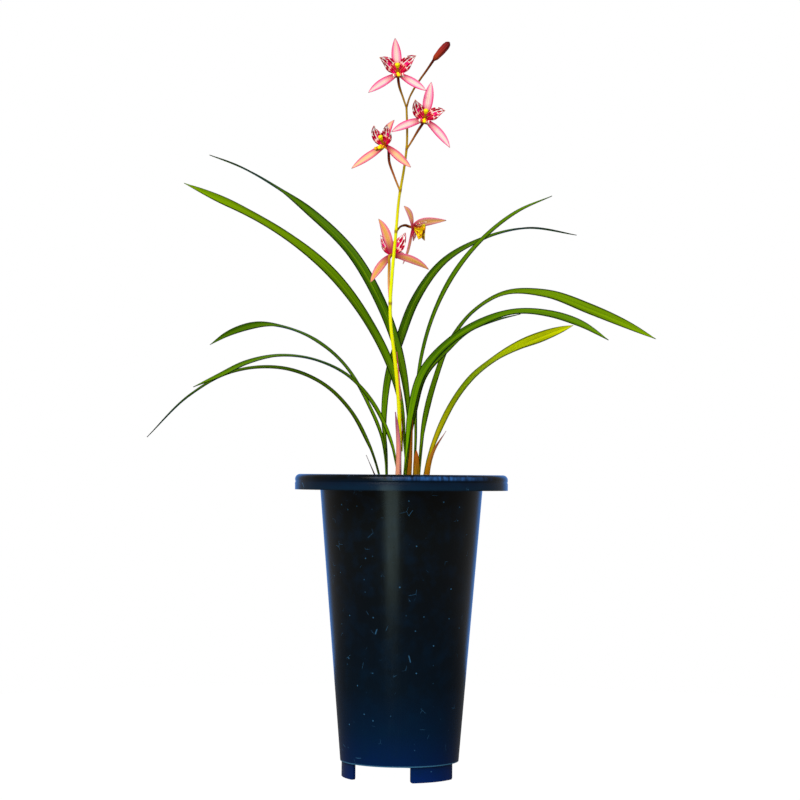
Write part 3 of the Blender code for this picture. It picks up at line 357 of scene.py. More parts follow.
def pot_plastic():
    """Black polypropylene: satin, with painted blue reflections, painted shadow and highlights, wear,
    scratches and dust.
    """
    made, tree = new_material("black moulded polypropylene", 0.5, 0.12, {"IOR": 1.49})
    place = add(tree, "TexCoord", {}, out="Object")
    height = add(tree, "SeparateXYZ", {}, {0: place}, 2)
    share = add(tree, "MapRange", {"From Max": POT_HEIGHT}, {"Value": height})
    # Base hues by height, with painted blue reflections and a painted shadow under the rim
    base = add(tree, "ValToRGB", {"stops": POT_HUES_WITH_PAINTED_LIGHT}, {0: share})
    # Cloudy wear about 12 mm across, and streaks drawn out down the wall
    cloud = add(tree, "TexNoise", {"Scale": 80.0, "Detail": 4.0}, {"Vector": place})
    streak = drawn_noise(tree, place, (1.0, 1.0, 0.12), 260.0, 3.0)
    base = tint(tree, base, "#022038", cloud, 0.45, 0.75, 0.30)
    # Dust specks up to a millimetre across, one to every few square centimetres
    dots = add(tree, "TexVoronoi", {"Scale": 140.0, "Randomness": 1.0}, {"Vector": place}, "Distance")
    near = add(tree, "MapRange", {"From Min": 0.11, "From Max": 0.05}, {"Value": dots})
    few = add(tree, "SeparateColor", {}, {0: dots.node.outputs["Color"]})
    few = add(tree, "MapRange", {"From Min": 0.50}, {"Value": few})
    speck = add(tree, "Math", {"operation": "MULTIPLY"}, {0: near, 1: few})
    # Hairline scratches a few millimetres long, where the pot has been handled
    seams = add(tree, "TexVoronoi", {"feature": "DISTANCE_TO_EDGE", "Scale": 70.0}, {"Vector": place})
    thin = add(tree, "MapRange", {"From Min": 0.010, "From Max": 0.005}, {"Value": seams})
    patch = add(tree, "TexNoise", {"Scale": 90.0, "Detail": 0.0}, {"Vector": place})
    patch = add(tree, "MapRange", {"From Min": 0.71, "From Max": 0.76, "To Max": 0.5}, {"Value": patch})
    scratch = add(tree, "Math", {"operation": "MULTIPLY"}, {0: thin, 1: patch})
    marks = add(tree, "Math", {"operation": "MAXIMUM"}, {0: speck, 1: scratch})
    base = tint(tree, base, "#3E7098", marks)
    # A painted blue highlight lies on the rim's rounded edge over a hand's width, as a sheen would
    gap = height_gap(tree, height, RIM_PAINTED_HIGHLIGHT[2])
    band = add(tree, "MapRange", {"From Min": 0.0022, "From Max": 0.0008}, {"Value": gap})
    spot = add(tree, "VectorMath", {"operation": "DISTANCE", 1: RIM_PAINTED_HIGHLIGHT}, {0: place}, "Value")
    spot = add(tree, "MapRange", {"From Min": 0.060, "From Max": 0.004}, {"Value": spot})
    painted_highlight = add(tree, "Math", {"operation": "MULTIPLY"}, {0: band, 1: spot})
    patchy = add(tree, "MapRange", {"From Min": 0.30, "From Max": 0.60}, {"Value": streak})
    painted_highlight = add(tree, "Math", {"operation": "MULTIPLY"}, {0: painted_highlight, 1: patchy})
    base = tint(tree, base, "#2C5C9C", painted_highlight)
    # A painted highlight runs along the body's lower edge, a bright line about a millimetre high
    base = tint(tree, base, "#4C86A8", height_gap(tree, height, BODY_EDGE_PAINTED_HIGHLIGHT), 0.0008, 0.0003, 0.6)
    rough = add(tree, "MapRange", {"To Min": 0.14, "To Max": 0.30}, {"Value": streak})
    return cover(made, {"Base Color": base, "Roughness": rough}, cloud, 0.10, 0.0004)


def settle(piece, node):
    """Rides a finished piece on the plant's one body and in place of a node."""
    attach(piece, "root")
    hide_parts(node)


def make_pot():
    editor = bmesh.new()
    spun(editor, pot_profile())
    weld(editor, MERGE_GAP * 5)
    pot = new_piece("moulded_pot", editor, pot_plastic())
    cutters = bpy.data.collections.new("drain cutters")
    for x, y, radius in DRAINS[1:]:
        editor = bmesh.new()
        spot = Matrix.Translation((x, y, sum(POT_FLOOR) / 2))
        bmesh.ops.create_cone(editor, cap_ends=True, segments=DRAIN_STEPS, radius1=radius,
                              radius2=radius, depth=CUTTER_DEPTH, matrix=spot)
        cutter = new_piece("drain", editor, pot.data.materials[0])
        bpy.context.scene.collection.objects.unlink(cutter)
        cutters.objects.link(cutter)
    cut = pot.modifiers.new("drains", "BOOLEAN")
    cut.operand_type = "COLLECTION"
    cut.collection = cutters
    bpy.context.view_layer.update()
    mesh = bpy.data.meshes.new_from_object(pot.evaluated_get(bpy.context.evaluated_depsgraph_get()))
    pot.modifiers.clear()
    editor = bmesh.new()
    editor.from_mesh(mesh)
    for start in FOOT_STARTS:
        pour(foot(start), editor)
    editor.to_mesh(pot.data)
    editor.free()
    bpy.data.meshes.remove(mesh)
    for cutter in list(cutters.objects):
        bpy.data.objects.remove(cutter)
    pot.data.shade_smooth()
    edge = pot.modifiers.new("moulded edges", "BEVEL")
    edge.width = MOULDED_EDGE
    edge.segments = 3
    edge.limit_method = "ANGLE"
    edge.angle_limit = math.radians(MOULDED_EDGE_TURN)
    edge.harden_normals = True
    settle(pot, "pot")


make_pot()

# The growing mix. Coarse pine bark fills the pot to two centimetres below its rim, heaped a
# little towards the plant. It is a dark damp plug with loose, angular chips bedded in its top.
MIX_TOP = 0.2365
MIX_DOME = 0.0030
MIX_FLOOR = 0.0163
MIX_GAP = 0.0003
CHIP_COUNT = 330
CHIP_SIZE = (0.0125, 0.0085, 0.0046)
CHIP_SIZES = (0.55, 1.10)
CHIP_CORNERS = (0.70, 1.25)
CHIP_MARGIN = CHIP_SIZE[0] * 0.55
CHIP_LEANS = (0.35, 0.30)
CHIP_LIFT = 0.0016
CHIP_EDGE = 0.0005
CHIP_GRIT = 0.00018
CHIP_EDGE_TURN = 40
CHIP_SEED = 12
SMALL_CHIP = 0.45
PLUG_DROP = 0.0012
PLUG_EDGE_DROP = 0.0010
PLUG_STEPS = 72
GOLDEN_ANGLE = math.radians(137.5)
BULBS = (
    (-0.0170, -0.0090),
    (-0.0130, 0.0058),
    (0.0004, -0.0020),
    (0.0042, -0.0190),
    (0.0043, 0.0112),
    (0.0130, 0.0004),
    (0.0194, -0.0138),
)
BULB_CLEARANCE = 0.0085


def mix_height(radius):
    return MIX_TOP + MIX_DOME * (1.0 - (radius / BODY_TOP_RADIUS) ** 2)


def bark():
    """Pine bark: red-brown outside, paler where it is torn, rough and dry."""
    made, tree = new_material("broken pine bark", 0.9, 0.25)
    place = add(tree, "TexCoord", {}, out="Object")
    # Chips differ in patches of about a chip's length. Real grain is too fine to show, so it is
    # drawn at about 1.5 mm.
    patch = add(tree, "TexVoronoi", {"Scale": 95.0, "Randomness": 1.0}, {"Vector": place}, "Color")
    tone = add(tree, "SeparateColor", {}, {0: patch})
    stops = ((0.0, "#2B1A10"), (0.35, "#4A2C18"), (0.7, "#74492A"), (1.0, "#A07A52"))
    base = add(tree, "ValToRGB", {"stops": stops}, {0: tone})
    grain = add(tree, "TexNoise", {"Scale": 650.0, "Detail": 6.0}, {"Vector": place})
    dark = add(tree, "MapRange", {"From Min": 0.35, "From Max": 0.7, "To Min": 0.55}, {"Value": grain})
    shade = {"data_type": "RGBA", "blend_type": "MULTIPLY", 0: 1.0}
    base = add(tree, "Mix", shade, {6: base, 7: dark}, 2)
    return cover(made, {"Base Color": base}, grain, 0.7, 0.0008)


def make_growing_mix():
    draw = random.Random(CHIP_SEED)
    editor = bmesh.new()
    reach = body_radius(MIX_TOP) - WALL - MIX_GAP
    for i in range(CHIP_COUNT):
        radius = (reach - CHIP_MARGIN) * math.sqrt((i + 0.5) / CHIP_COUNT)
        angle = GOLDEN_ANGLE * i
        x, y = radius * math.cos(angle), radius * math.sin(angle)
        leans = [draw.uniform(-lean, lean) for lean in CHIP_LEANS]
        tilt = Matrix.Rotation(leans[0], 4, "Y") @ Matrix.Rotation(leans[1], 4, "X")
        turn = Matrix.Rotation(draw.uniform(0, math.pi), 4, "Z")
        size = [length * draw.uniform(*CHIP_SIZES) for length in CHIP_SIZE]
        lift = draw.uniform(-CHIP_LIFT, CHIP_LIFT)
        if min(math.dist((x, y), bulb) for bulb in BULBS) < BULB_CLEARANCE:
            size = [length * SMALL_CHIP for length in size]
            lift = -PLUG_DROP
        spot = Matrix.Translation((x, y, mix_height(radius) + lift))
        spot = spot @ turn @ tilt @ Matrix.Diagonal((*size, 1))
        for vert in bmesh.ops.create_cube(editor, size=1.0)["verts"]:
            vert.co = spot @ Vector([part * draw.uniform(*CHIP_CORNERS) for part in vert.co])
    bmesh.ops.bevel(editor, geom=editor.edges[:], offset=CHIP_EDGE, affect="EDGES", segments=1,
                    profile=0.5, material=-1)
    bmesh.ops.subdivide_edges(editor, edges=editor.edges[:], cuts=1, use_grid_fill=True, fractal=0.0,
                              smooth=0.0)
    for vert in editor.verts:
        vert.co += Vector([draw.uniform(-CHIP_GRIT, CHIP_GRIT) for _ in range(3)])
    section = (
        (0.0, MIX_FLOOR),
        (body_radius(MIX_FLOOR) - WALL - MIX_GAP, MIX_FLOOR),
        (reach, MIX_TOP - PLUG_EDGE_DROP),
        (reach / 2, mix_height(reach / 2) - PLUG_DROP),
        (0.0, mix_height(0.0) - PLUG_DROP),
    )
    spun(editor, section, closed=False, steps=PLUG_STEPS)
    weld(editor)
    mix = new_piece("bark_mix", editor, bark())
    mix.data.set_sharp_from_angle(angle=math.radians(CHIP_EDGE_TURN))
    settle(mix, "growing_mix")


make_growing_mix()

# The plant's base. Pseudobulbs the size of a hazelnut stand on a creeping rhizome with thick
# roots below, and a ribbed skin of old leaf bases clothes each of them up to its neck.
BULB_SKIN = ((0.2300, 0.0050), (0.2335, 0.0060), (0.2390, 0.0062), (0.2440, 0.0052),
             (0.2478, 0.0041), (0.2492, 0.0030))
SKIN_RIBS = 11
SKIN_RIB = 0.05
SKIN_ROWS = 16
SKIN_SIDES = 44
CURVE_STEPS = 24


def smooth_route(stations, count):
    """Points at even steps along a smooth curve through the stations."""
    rows = np.array(stations, dtype=float)
    chord = np.linalg.norm(np.diff(rows[:, :3], axis=0), axis=1)
    knots = np.concatenate([[0.0], np.cumsum(chord)])
    slopes = np.gradient(rows, knots, axis=0)
    dense = []
    for i in range(len(rows) - 1):
        span = knots[i + 1] - knots[i]
        for step in np.linspace(0.0, 1.0, CURVE_STEPS, endpoint=False):
            a = 2 * step ** 3 - 3 * step ** 2 + 1
            b = step ** 3 - 2 * step ** 2 + step
            c = step ** 3 - step ** 2
            bend = span * (b * slopes[i] + c * slopes[i + 1])
            dense.append(a * rows[i] + (1 - a) * rows[i + 1] + bend)
    dense.append(rows[-1])
    dense = np.array(dense)
    run = np.linalg.norm(np.diff(dense[:, :3], axis=0), axis=1)
    run = np.concatenate([[0.0], np.cumsum(run)])
    places = np.linspace(0.0, run[-1], count)
    return np.array([[np.interp(place, run, column) for column in dense.T] for place in places])


def tangents(points):
    """Unit direction of a route at each of its points."""
    return [Vector(row).normalized() for row in np.gradient(np.array(points)[:, :3], axis=0)]


def mark_uv(editor):
    """UV of a fresh grid: x across it and y along it, both from 0 to 1."""
    layer = editor.loops.layers.uv.new("across and along")
    for face in editor.faces:
        for loop in face.loops:
            loop[layer].uv = ((loop.vert.co.x + 1) / 2, (loop.vert.co.y + 1) / 2)


def tube(editor, route, sides, rib=None):
    """Adds a closed tube along rows of x, y, z and radius; rib shapes its radius by angle."""
    rows = len(route)
    part = bmesh.new()
    bmesh.ops.create_grid(part, x_segments=sides, y_segments=rows - 1, size=1.0)
    mark_uv(part)
    along = tangents(route)
    side = along[0].orthogonal().normalized()
    sideways = []
    for heading in along:
        side = (side - heading * side.dot(heading)).normalized()
        sideways.append(side.copy())
    for vert in part.verts:
        row = round((vert.co.y + 1) / 2 * (rows - 1))
        angle = math.pi * (vert.co.x + 1)
        radius = float(route[row][3]) * (rib(angle, row / (rows - 1)) if rib else 1.0)
        other = along[row].cross(sideways[row])
        outward = math.cos(angle) * sideways[row] + math.sin(angle) * other
        vert.co = Vector(route[row][:3]) + radius * outward
    weld(part)
    pour(part, editor)


def bulb_skin():
    """Old leaf bases: straw over green, with fibres that run up to the neck."""
    made, tree = new_material("fibrous old leaf bases", 0.75, 0.3)
    place = add(tree, "TexCoord", {}, out="Object")
    # Real fibres are too fine to show, so they are drawn about 0.8 mm apart
    fibre = drawn_noise(tree, place, (1.0, 1.0, 0.10), 1200.0, 3.0)
    stops = ((0.25, "#5B3A16"), (0.5, "#96702A"), (0.75, "#A59A45"))
    base = add(tree, "ValToRGB", {"stops": stops}, {0: fibre})
    return cover(made, {"Base Color": base}, fibre, 0.5, 0.0005)


def make_plant_base():
    skin = bulb_skin()
    editor = bmesh.new()
    for x, y in BULBS:
        route = smooth_route([(x, y, height, radius) for height, radius in BULB_SKIN], SKIN_ROWS)
        tube(editor, route, SKIN_SIDES,
             rib=lambda angle, share: 1.0 + SKIN_RIB * math.cos(SKIN_RIBS * angle))
    piece = new_piece("bulb_skins", editor, skin)
    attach(piece, "root")
    inner = frame["nodes"]["pseudobulbs_and_roots"]
    inner.data.materials.clear()
    inner.data.materials.append(skin)


make_plant_base()

# The leaves. Eleven arching straps, each folded along its midrib where it leaves its shoot and
# opening into a shallow channel, with a waxy skin and veins that run from base to tip.
# A station is x, y, z and the blade's turn; hues are base, low, middle, tip and margin.
LEAF_BASE = 0.24932
LEAF_ROWS = 84
LEAF_COLUMNS = 12
LEAF_THICKNESS = 0.0006
LEAF_BASE_WIDTH = 0.46
LEAF_SWELL_END = 0.55
LEAF_SWELL_POWER = 1.3
LEAF_TAPER_START = 0.62
LEAF_TAPER_POWER = 4.5
LEAF_TIP_WIDTH = 0.0004
LEAF_BASE_FOLD = 58
LEAF_OPEN_FOLD = 17
LEAF_FOLD_FALL = 6.0
FOLD_SPREAD = (1.32, 0.76)
LEAF_VEINS = 6
# The green leaves' base and low hues are their paler bases, made lighter still as painted light that
# lifts the shade of the fold
DEEP_GREENS = ("#668C02", "#5A8202", "#3A6002", "#406602", "#021404")
MID_GREENS = ("#82AE02", "#72A002", "#3E6602", "#567C02", "#041A04")
YELLOW_GREENS = ("#7AA002", "#6A9202", "#4A6E02", "#7E9E02", "#0E2402")
DARK_GREENS = ("#4C6C08", "#3C5C02", "#1E3A02", "#446602", "#040C04")
PALE_HUES = ("#946008", "#AE9402", "#88A402", "#DADA02", "#3E4E02")
LEAVES = {
    "leaf_left_upper": (0.0102, DEEP_GREENS, (
        (0.0030, 0.0132, LEAF_BASE, 0), (0.0044, 0.0130, 0.2905, 10),
        (0.0039, 0.0140, 0.3210, 40), (-0.0054, 0.0180, 0.3739, 75),
        (-0.0197, 0.0250, 0.4122, 90), (-0.0464, 0.0360, 0.4569, 68),
        (-0.0832, 0.0480, 0.4932, 54), (-0.1118, 0.0570, 0.5148, 16),
        (-0.1436, 0.0640, 0.5343, 4), (-0.1761, 0.0700, 0.5481, -14),
    )),
    "leaf_left_broad": (0.0100, YELLOW_GREENS, (
        (0.0056, 0.0088, LEAF_BASE, 0), (0.0012, 0.0085, 0.2900, 12),
        (-0.0009, 0.0080, 0.3141, 35), (-0.0089, 0.0060, 0.3492, 60),
        (-0.0291, -0.0020, 0.3901, 56), (-0.0635, -0.0140, 0.4350, 68),
        (-0.1024, -0.0270, 0.4647, 46), (-0.1376, -0.0380, 0.4842, 48),
        (-0.1691, -0.0470, 0.4988, 86), (-0.1865, -0.0520, 0.5059, 80),
    )),
    "leaf_left_middle": (0.0082, DEEP_GREENS, (
        (-0.0136, 0.0024, LEAF_BASE, 0), (-0.0147, 0.0025, 0.2724, 12),
        (-0.0187, 0.0040, 0.2935, 34), (-0.0315, 0.0120, 0.3232, 28),
        (-0.0485, 0.0300, 0.3519, 20), (-0.0765, 0.0620, 0.3781, 22),
        (-0.1129, 0.1020, 0.3946, 18), (-0.1437, 0.1340, 0.3968, 72),
        (-0.1659, 0.1540, 0.3907, 88), (-0.1825, 0.1680, 0.3818, 80),
    )),
    "leaf_left_front": (0.0078, MID_GREENS, (
        (-0.0010, -0.0020, LEAF_BASE, 0), (-0.0055, -0.0022, 0.2695, 16),
        (-0.0100, -0.0040, 0.2880, 40), (-0.0213, -0.0130, 0.3136, 38),
        (-0.0415, -0.0340, 0.3389, 22), (-0.0713, -0.0680, 0.3544, 10),
        (-0.1010, -0.1010, 0.3565, 18), (-0.1264, -0.1300, 0.3490, 34),
        (-0.1472, -0.1540, 0.3370, 44), (-0.1654, -0.1700, 0.3280, 30),
    )),
    "leaf_left_low": (0.0074, DARK_GREENS, (
        (-0.0174, -0.0090, LEAF_BASE, 0), (-0.0235, -0.0100, 0.2711, 15),
        (-0.0304, -0.0110, 0.2883, 44), (-0.0450, -0.0130, 0.3141, 32),
        (-0.0662, -0.0140, 0.3353, 26), (-0.0972, -0.0120, 0.3492, 24),
        (-0.1278, -0.0080, 0.3510, 22), (-0.1520, -0.0040, 0.3457, 20),
        (-0.1844, 0.0020, 0.3274, 14), (-0.2227, 0.0100, 0.2911, 8),
    )),
    "leaf_right_upper": (0.0094, DEEP_GREENS, (
        (-0.0120, 0.0090, LEAF_BASE, 0), (-0.0126, 0.0100, 0.2816, 20),
        (-0.0150, 0.0150, 0.3095, 60), (-0.0111, 0.0260, 0.3504, 74),
        (-0.0028, 0.0340, 0.3781, 86), (0.0110, 0.0460, 0.4144, 66),
        (0.0356, 0.0640, 0.4502, 44), (0.0689, 0.0880, 0.4731, 26),
        (0.1126, 0.1120, 0.4880, 6), (0.1623, 0.1360, 0.4851, -8),
    )),
    "leaf_right_slim": (0.0080, MID_GREENS, (
        (0.0109, 0.0010, LEAF_BASE, 0), (0.0130, 0.0000, 0.2900, 20),
        (0.0132, -0.0040, 0.3204, 22), (0.0176, -0.0090, 0.3627, 22),
        (0.0279, -0.0170, 0.3991, 24), (0.0450, -0.0270, 0.4332, 32),
        (0.0685, -0.0380, 0.4615, 26), (0.0968, -0.0500, 0.4834, 26),
        (0.1252, -0.0620, 0.4959, 20),
    )),
    "leaf_right_front": (0.0098, MID_GREENS, (
        (0.0026, -0.0210, LEAF_BASE, 0), (0.0057, -0.0215, 0.2829, 30),
        (0.0078, -0.0230, 0.3109, 62), (0.0183, -0.0280, 0.3479, 58),
        (0.0414, -0.0360, 0.3736, 44), (0.0665, -0.0460, 0.3888, 44),
        (0.0947, -0.0580, 0.3972, 32), (0.1230, -0.0700, 0.3949, 42),
        (0.1468, -0.0800, 0.3870, 58), (0.1705, -0.0920, 0.3726, 50),
    )),
    "leaf_right_short": (0.0076, DEEP_GREENS, (
        (0.0056, -0.0168, LEAF_BASE, 0), (0.0072, -0.0170, 0.2829, 20),
        (0.0115, -0.0170, 0.3137, 40), (0.0210, -0.0180, 0.3466, 38),
        (0.0394, -0.0180, 0.3666, 24), (0.0586, -0.0170, 0.3838, 14),
        (0.0811, -0.0140, 0.3935, 12), (0.1021, -0.0100, 0.3998, 8),
    )),
    "leaf_right_broad": (0.0106, YELLOW_GREENS, (
        (0.0152, 0.0002, LEAF_BASE, 0), (0.0180, 0.0010, 0.2828, 20),
        (0.0212, 0.0020, 0.3091, 44), (0.0296, 0.0040, 0.3416, 34),
        (0.0428, 0.0060, 0.3758, 22), (0.0627, 0.0080, 0.4025, 14),
        (0.0899, 0.0100, 0.4185, 24), (0.1243, 0.0110, 0.4188, 46),
        (0.1643, 0.0120, 0.4060, 78), (0.1944, 0.0120, 0.3937, 88),
        (0.2222, 0.0120, 0.3804, 80),
    )),
    "leaf_right_pale": (0.0108, PALE_HUES, (
        (0.0192, -0.0138, LEAF_BASE, 0), (0.0240, -0.0140, 0.2717, 26),
        (0.0327, -0.0090, 0.2968, 40), (0.0469, 0.0040, 0.3248, 32),
        (0.0624, 0.0200, 0.3453, 30), (0.0810, 0.0400, 0.3611, 28),
        (0.1028, 0.0600, 0.3749, 50), (0.1284, 0.0820, 0.3871, 88),
        (0.1570, 0.1040, 0.3983, 80),
    )),
}


def cross_section(half, fold, columns):
    """Spread and lift from the midrib outwards of a blade that folds most near its midrib."""
    tight, ease = FOLD_SPREAD
    step = 2.0 / columns
    spread, lift = [0.0], [0.0]
    for i in range(columns // 2):
        middle = (i + 0.5) * step
        angle = fold * (tight - ease * middle)
        spread.append(spread[-1] + half * step * math.cos(angle))
        lift.append(lift[-1] + half * step * math.sin(angle))
    return spread, lift


def blade(editor, points, sides, faces, widths, folds, columns):
    """Adds a thin sheet along the points. A fold lifts both halves towards the face direction."""
    rows = len(points)
    part = bmesh.new()
    bmesh.ops.create_grid(part, x_segments=columns, y_segments=rows - 1, size=1.0)
    mark_uv(part)
    sections = [
        cross_section(width / 2.0, math.radians(fold), columns) for width, fold in zip(widths, folds)
    ]
    for vert in part.verts:
        row = round((vert.co.y + 1) / 2 * (rows - 1))
        place = round(abs(vert.co.x) * columns / 2)
        spread, lift = sections[row]
        across = math.copysign(spread[place], vert.co.x)
        vert.co = points[row] + sides[row] * across + faces[row] * lift[place]
    pour(part, editor)


def thin_piece(name, editor, material, thickness, node):
    """Makes a piece of a sheet, with half its thickness to each side, in place of a node."""
    piece = new_piece(name, editor, material)
    shell = piece.modifiers.new("thickness", "SOLIDIFY")
    shell.thickness = thickness
    shell.offset = 0.0
    shell.use_even_offset = False
    settle(piece, node)


def blade_material(name, roughness, gloss, stops, over="along", others=None):
    """A blade's material, its tree, its own places as sockets, and its ramp of colours over one of
    them: uv, across and along it from 0 to 1, or margin, 0 at the midrib and 1 at the edge.
    """
    made, tree = new_material(name, roughness, gloss, others)
    uv = add(tree, "UVMap", {"uv_map": "across and along"})
    across = add(tree, "SeparateXYZ", {}, {0: uv})
    side = add(tree, "Math", {"operation": "MULTIPLY_ADD", 1: 2.0, 2: -1.0}, {0: across})
    margin = add(tree, "Math", {"operation": "ABSOLUTE"}, {0: side})
    at = {"uv": uv, "across": across, "along": across.node.outputs[1], "margin": margin}
    return made, tree, at, add(tree, "ValToRGB", {"stops": stops}, {0: at[over]})


def vein_lines(tree, across, count):
    """Lengthwise lines: a wave from -1 to 1 with this many crests across a blade."""
    turns = add(tree, "Math", {"operation": "MULTIPLY", 1: 2 * math.pi * count}, {0: across})
    return add(tree, "Math", {"operation": "SINE"}, {0: turns})


def leaf_skin(name, hues):
    """Leaf: waxy green skin with parallel veins, a painted highlight along the midrib and painted shade
    at the margin.
    """
    stops = tuple(zip((0.0, 0.14, 0.42, 1.0), hues))
    made, tree, at, base = blade_material(name, 0.40, 0.02, stops, others={"IOR": 1.45})
    # Lengthwise bands of lighter and darker tissue, two or three to the blade's width
    mottle = drawn_noise(tree, at["uv"], (5.0, 3.0, 1.0), 1.0, 3.0)
    base = tint(tree, base, "#88A602", mottle, 0.45, 0.72, 0.34)
    base = tint(tree, base, hues[4], mottle, 0.46, 0.28, 0.55)
    # The outer third darkens to the margin as painted shade; the midrib is a pale line, a painted
    # highlight
    base = tint(tree, base, hues[4], at["margin"], 0.68, 0.90, 0.95)
    base = tint(tree, base, "#8AAA02", at["margin"], 0.14, 0.04, 0.30)
    # Veins: lengthwise ridges, drawn a millimetre or two apart, as the real ones are too fine to show
    return cover(made, {"Base Color": base}, vein_lines(tree, at["across"], LEAF_VEINS), 0.15)


def leaf_width(share, width):
    """Width of a strap leaf: narrow at its folded base, widest past the middle, pointed."""
    swell = math.sin(math.pi / 2 * min(1.0, share / LEAF_SWELL_END)) ** LEAF_SWELL_POWER
    taper = max(0.0, (share - LEAF_TAPER_START) / (1.0 - LEAF_TAPER_START))
    full = width * (LEAF_BASE_WIDTH + (1 - LEAF_BASE_WIDTH) * swell)
    return max(full * (1.0 - taper ** LEAF_TAPER_POWER), LEAF_TIP_WIDTH)


def make_leaf(name, width, hues, stations):
    route = smooth_route(stations, LEAF_ROWS)
    points = [Vector(row[:3]) for row in route]
    along = tangents(route)
    along[0] = Vector((0.0, 0.0, 1.0))
    goes_right = stations[-1][0] > stations[0][0]
    depth = Vector((0.0, 1.0, 0.0))
    sides, faces, widths, folds = [], [], [], []
    for i, heading in enumerate(along):
        level = (depth - heading * heading.dot(depth)).normalized()
        upper = heading.cross(level) if goes_right else level.cross(heading)
        turn = math.radians(route[i][3])
        face = upper * math.cos(turn) - level * math.sin(turn)
        share = i / (LEAF_ROWS - 1)
        faces.append(face)
        sides.append(heading.cross(face))
        widths.append(leaf_width(share, width))
        closed = (LEAF_BASE_FOLD - LEAF_OPEN_FOLD) * math.exp(-LEAF_FOLD_FALL * share)
        folds.append(LEAF_OPEN_FOLD + closed)
    editor = bmesh.new()
    blade(editor, points, sides, faces, widths, folds, LEAF_COLUMNS)
    thin_piece(name + "_blade", editor, leaf_skin(name + " skin", hues), LEAF_THICKNESS, name)


for name, leaf in LEAVES.items():
    make_leaf(name, *leaf)

# The dry sheaths. Old papery sheaths and stubs stand round the shoots, split and curled, and
# bleached from chestnut to straw. Each is a thin folded skin rooted among the bark.
SHEATHS = {
    "dry_sheath_1": (0.0022, ("#300E04", "#3E1004", "#2E1420"), (-0.0142, -0.0172),
                     (-0.0226, -0.0182, 0.2585), (-0.0305, -0.0195, 0.2766)),
    "dry_sheath_2": (0.0062, ("#A07004", "#C07A04", "#8A3A3A"), (0.0206, -0.0240),
                     (0.0272, -0.0240, 0.2800), (0.0380, -0.0240, 0.2977)),
    "dry_sheath_3": (0.0052, ("#96660C", "#A0600A", "#6A2A06"), (0.0056, -0.0276),
                     (0.0075, -0.0278, 0.2730), (0.0093, -0.0284, 0.3070)),
    "dry_sheath_4": (0.0062, ("#8A6A04", "#A07E04", "#B85018"), (0.0131, -0.0249),
                     (0.0127, -0.0249, 0.2600), (0.0126, -0.0248, 0.2810)),
    "dry_sheath_5": (0.0020, ("#A04A3A", "#B03A5A", "#8A1A4A"), (-0.0007, -0.0098),
                     (-0.0006, -0.0090, 0.2600), (-0.0004, -0.0080, 0.2804)),
}
SHEATH_FOOT = 0.2334
SHEATH_THICKNESS = 0.0005
SHEATH_ROWS = 26
SHEATH_COLUMNS = 6
SHEATH_FOLD = -24
SHEATH_TAPER_POWER = 1.6
SHEATH_TAPERS = {"dry_sheath_4": 9.0}


def dry_skin(name, hues):
    """Dead plant skin: papery, streaked lengthwise, with a colour each for foot, middle and tip."""
    stops = tuple(zip((0.0, 0.5, 1.0), hues))
    made, tree, at, base = blade_material(name, 0.8, 0.05, stops)
    # Real fibres are too fine to show, so they are drawn about half a millimetre wide
    fibre = drawn_noise(tree, at["uv"], (9.0, 4.0, 1.0), 1.0, 4.0)
    base = tint(tree, base, "#4A2404", fibre, 0.45, 0.62, 0.6)
    return cover(made, {"Base Color": base}, fibre, 0.6, 0.0003)


def facing(along, front):
    """Side and face directions along a blade that looks towards the front."""
    sides = [heading.cross(front).normalized() for heading in along]
    return sides, [side.cross(heading) for side, heading in zip(sides, along)]


def make_sheath(name, width, hues, base, middle, tip):
    stations = ((*base, SHEATH_FOOT), (*base, MIX_TOP + MIX_DOME), middle, tip)
    route = smooth_route(stations, SHEATH_ROWS)
    points = [Vector(row) for row in route]
    along = tangents(route)
    along[0] = Vector((0.0, 0.0, 1.0))
    sides, faces = facing(along, Vector((0.0, -1.0, 0.0)))
    shares = np.linspace(0.0, 1.0, SHEATH_ROWS)
    taper = SHEATH_TAPERS.get(name, SHEATH_TAPER_POWER)
    widths = [max(width * (1.0 - share ** taper), LEAF_TIP_WIDTH) for share in shares]
    editor = bmesh.new()
    blade(editor, points, sides, faces, widths, [SHEATH_FOLD] * SHEATH_ROWS, SHEATH_COLUMNS)
    skin = dry_skin(name + " dead skin", hues)
    thin_piece(name + "_skin", editor, skin, SHEATH_THICKNESS, name)


for name, sheath in SHEATHS.items():
    make_sheath(name, *sheath)

# The flower stem. A smooth, fleshy, upright stem, yellow-green as if the sun shone through it,
# and ochre towards its top, with a slight swelling and a brown scar at each joint.
SCAPE = (
    (-0.0040, -0.0125, 0.2250, 0.0019), (-0.0035, -0.0125, 0.2440, 0.0019),
    (-0.0024, -0.0124, 0.2640, 0.0019), (-0.0018, -0.0122, 0.2880, 0.0018),
    (-0.0023, -0.0121, 0.3110, 0.0018), (-0.0045, -0.0120, 0.3417, 0.0017),
    (-0.0068, -0.0120, 0.3620, 0.0016), (-0.0103, -0.0120, 0.3900, 0.0015),
    (-0.0109, -0.0120, 0.4084, 0.0015), (-0.0098, -0.0120, 0.4283, 0.0015),
    (-0.0064, -0.0117, 0.4701, 0.0013), (-0.0038, -0.0115, 0.5006, 0.0012),
    (0.0004, -0.0110, 0.5269, 0.0011), (0.0024, -0.0106, 0.5450, 0.0010),
    (0.0026, -0.0103, 0.5620, 0.0010), (0.0019, -0.0100, 0.5803, 0.0009),
)
SCAPE_JOINTS = (0.4084, 0.4710, 0.5067, 0.5430, 0.5803)
SCAPE_HUES = ((0.0, "#B8A002"), (0.25, "#ECDE00"), (0.60, "#F4F200"), (0.72, "#ECE000"),
              (0.82, "#C4A400"), (0.92, "#B08800"), (1.0, "#A88000"))
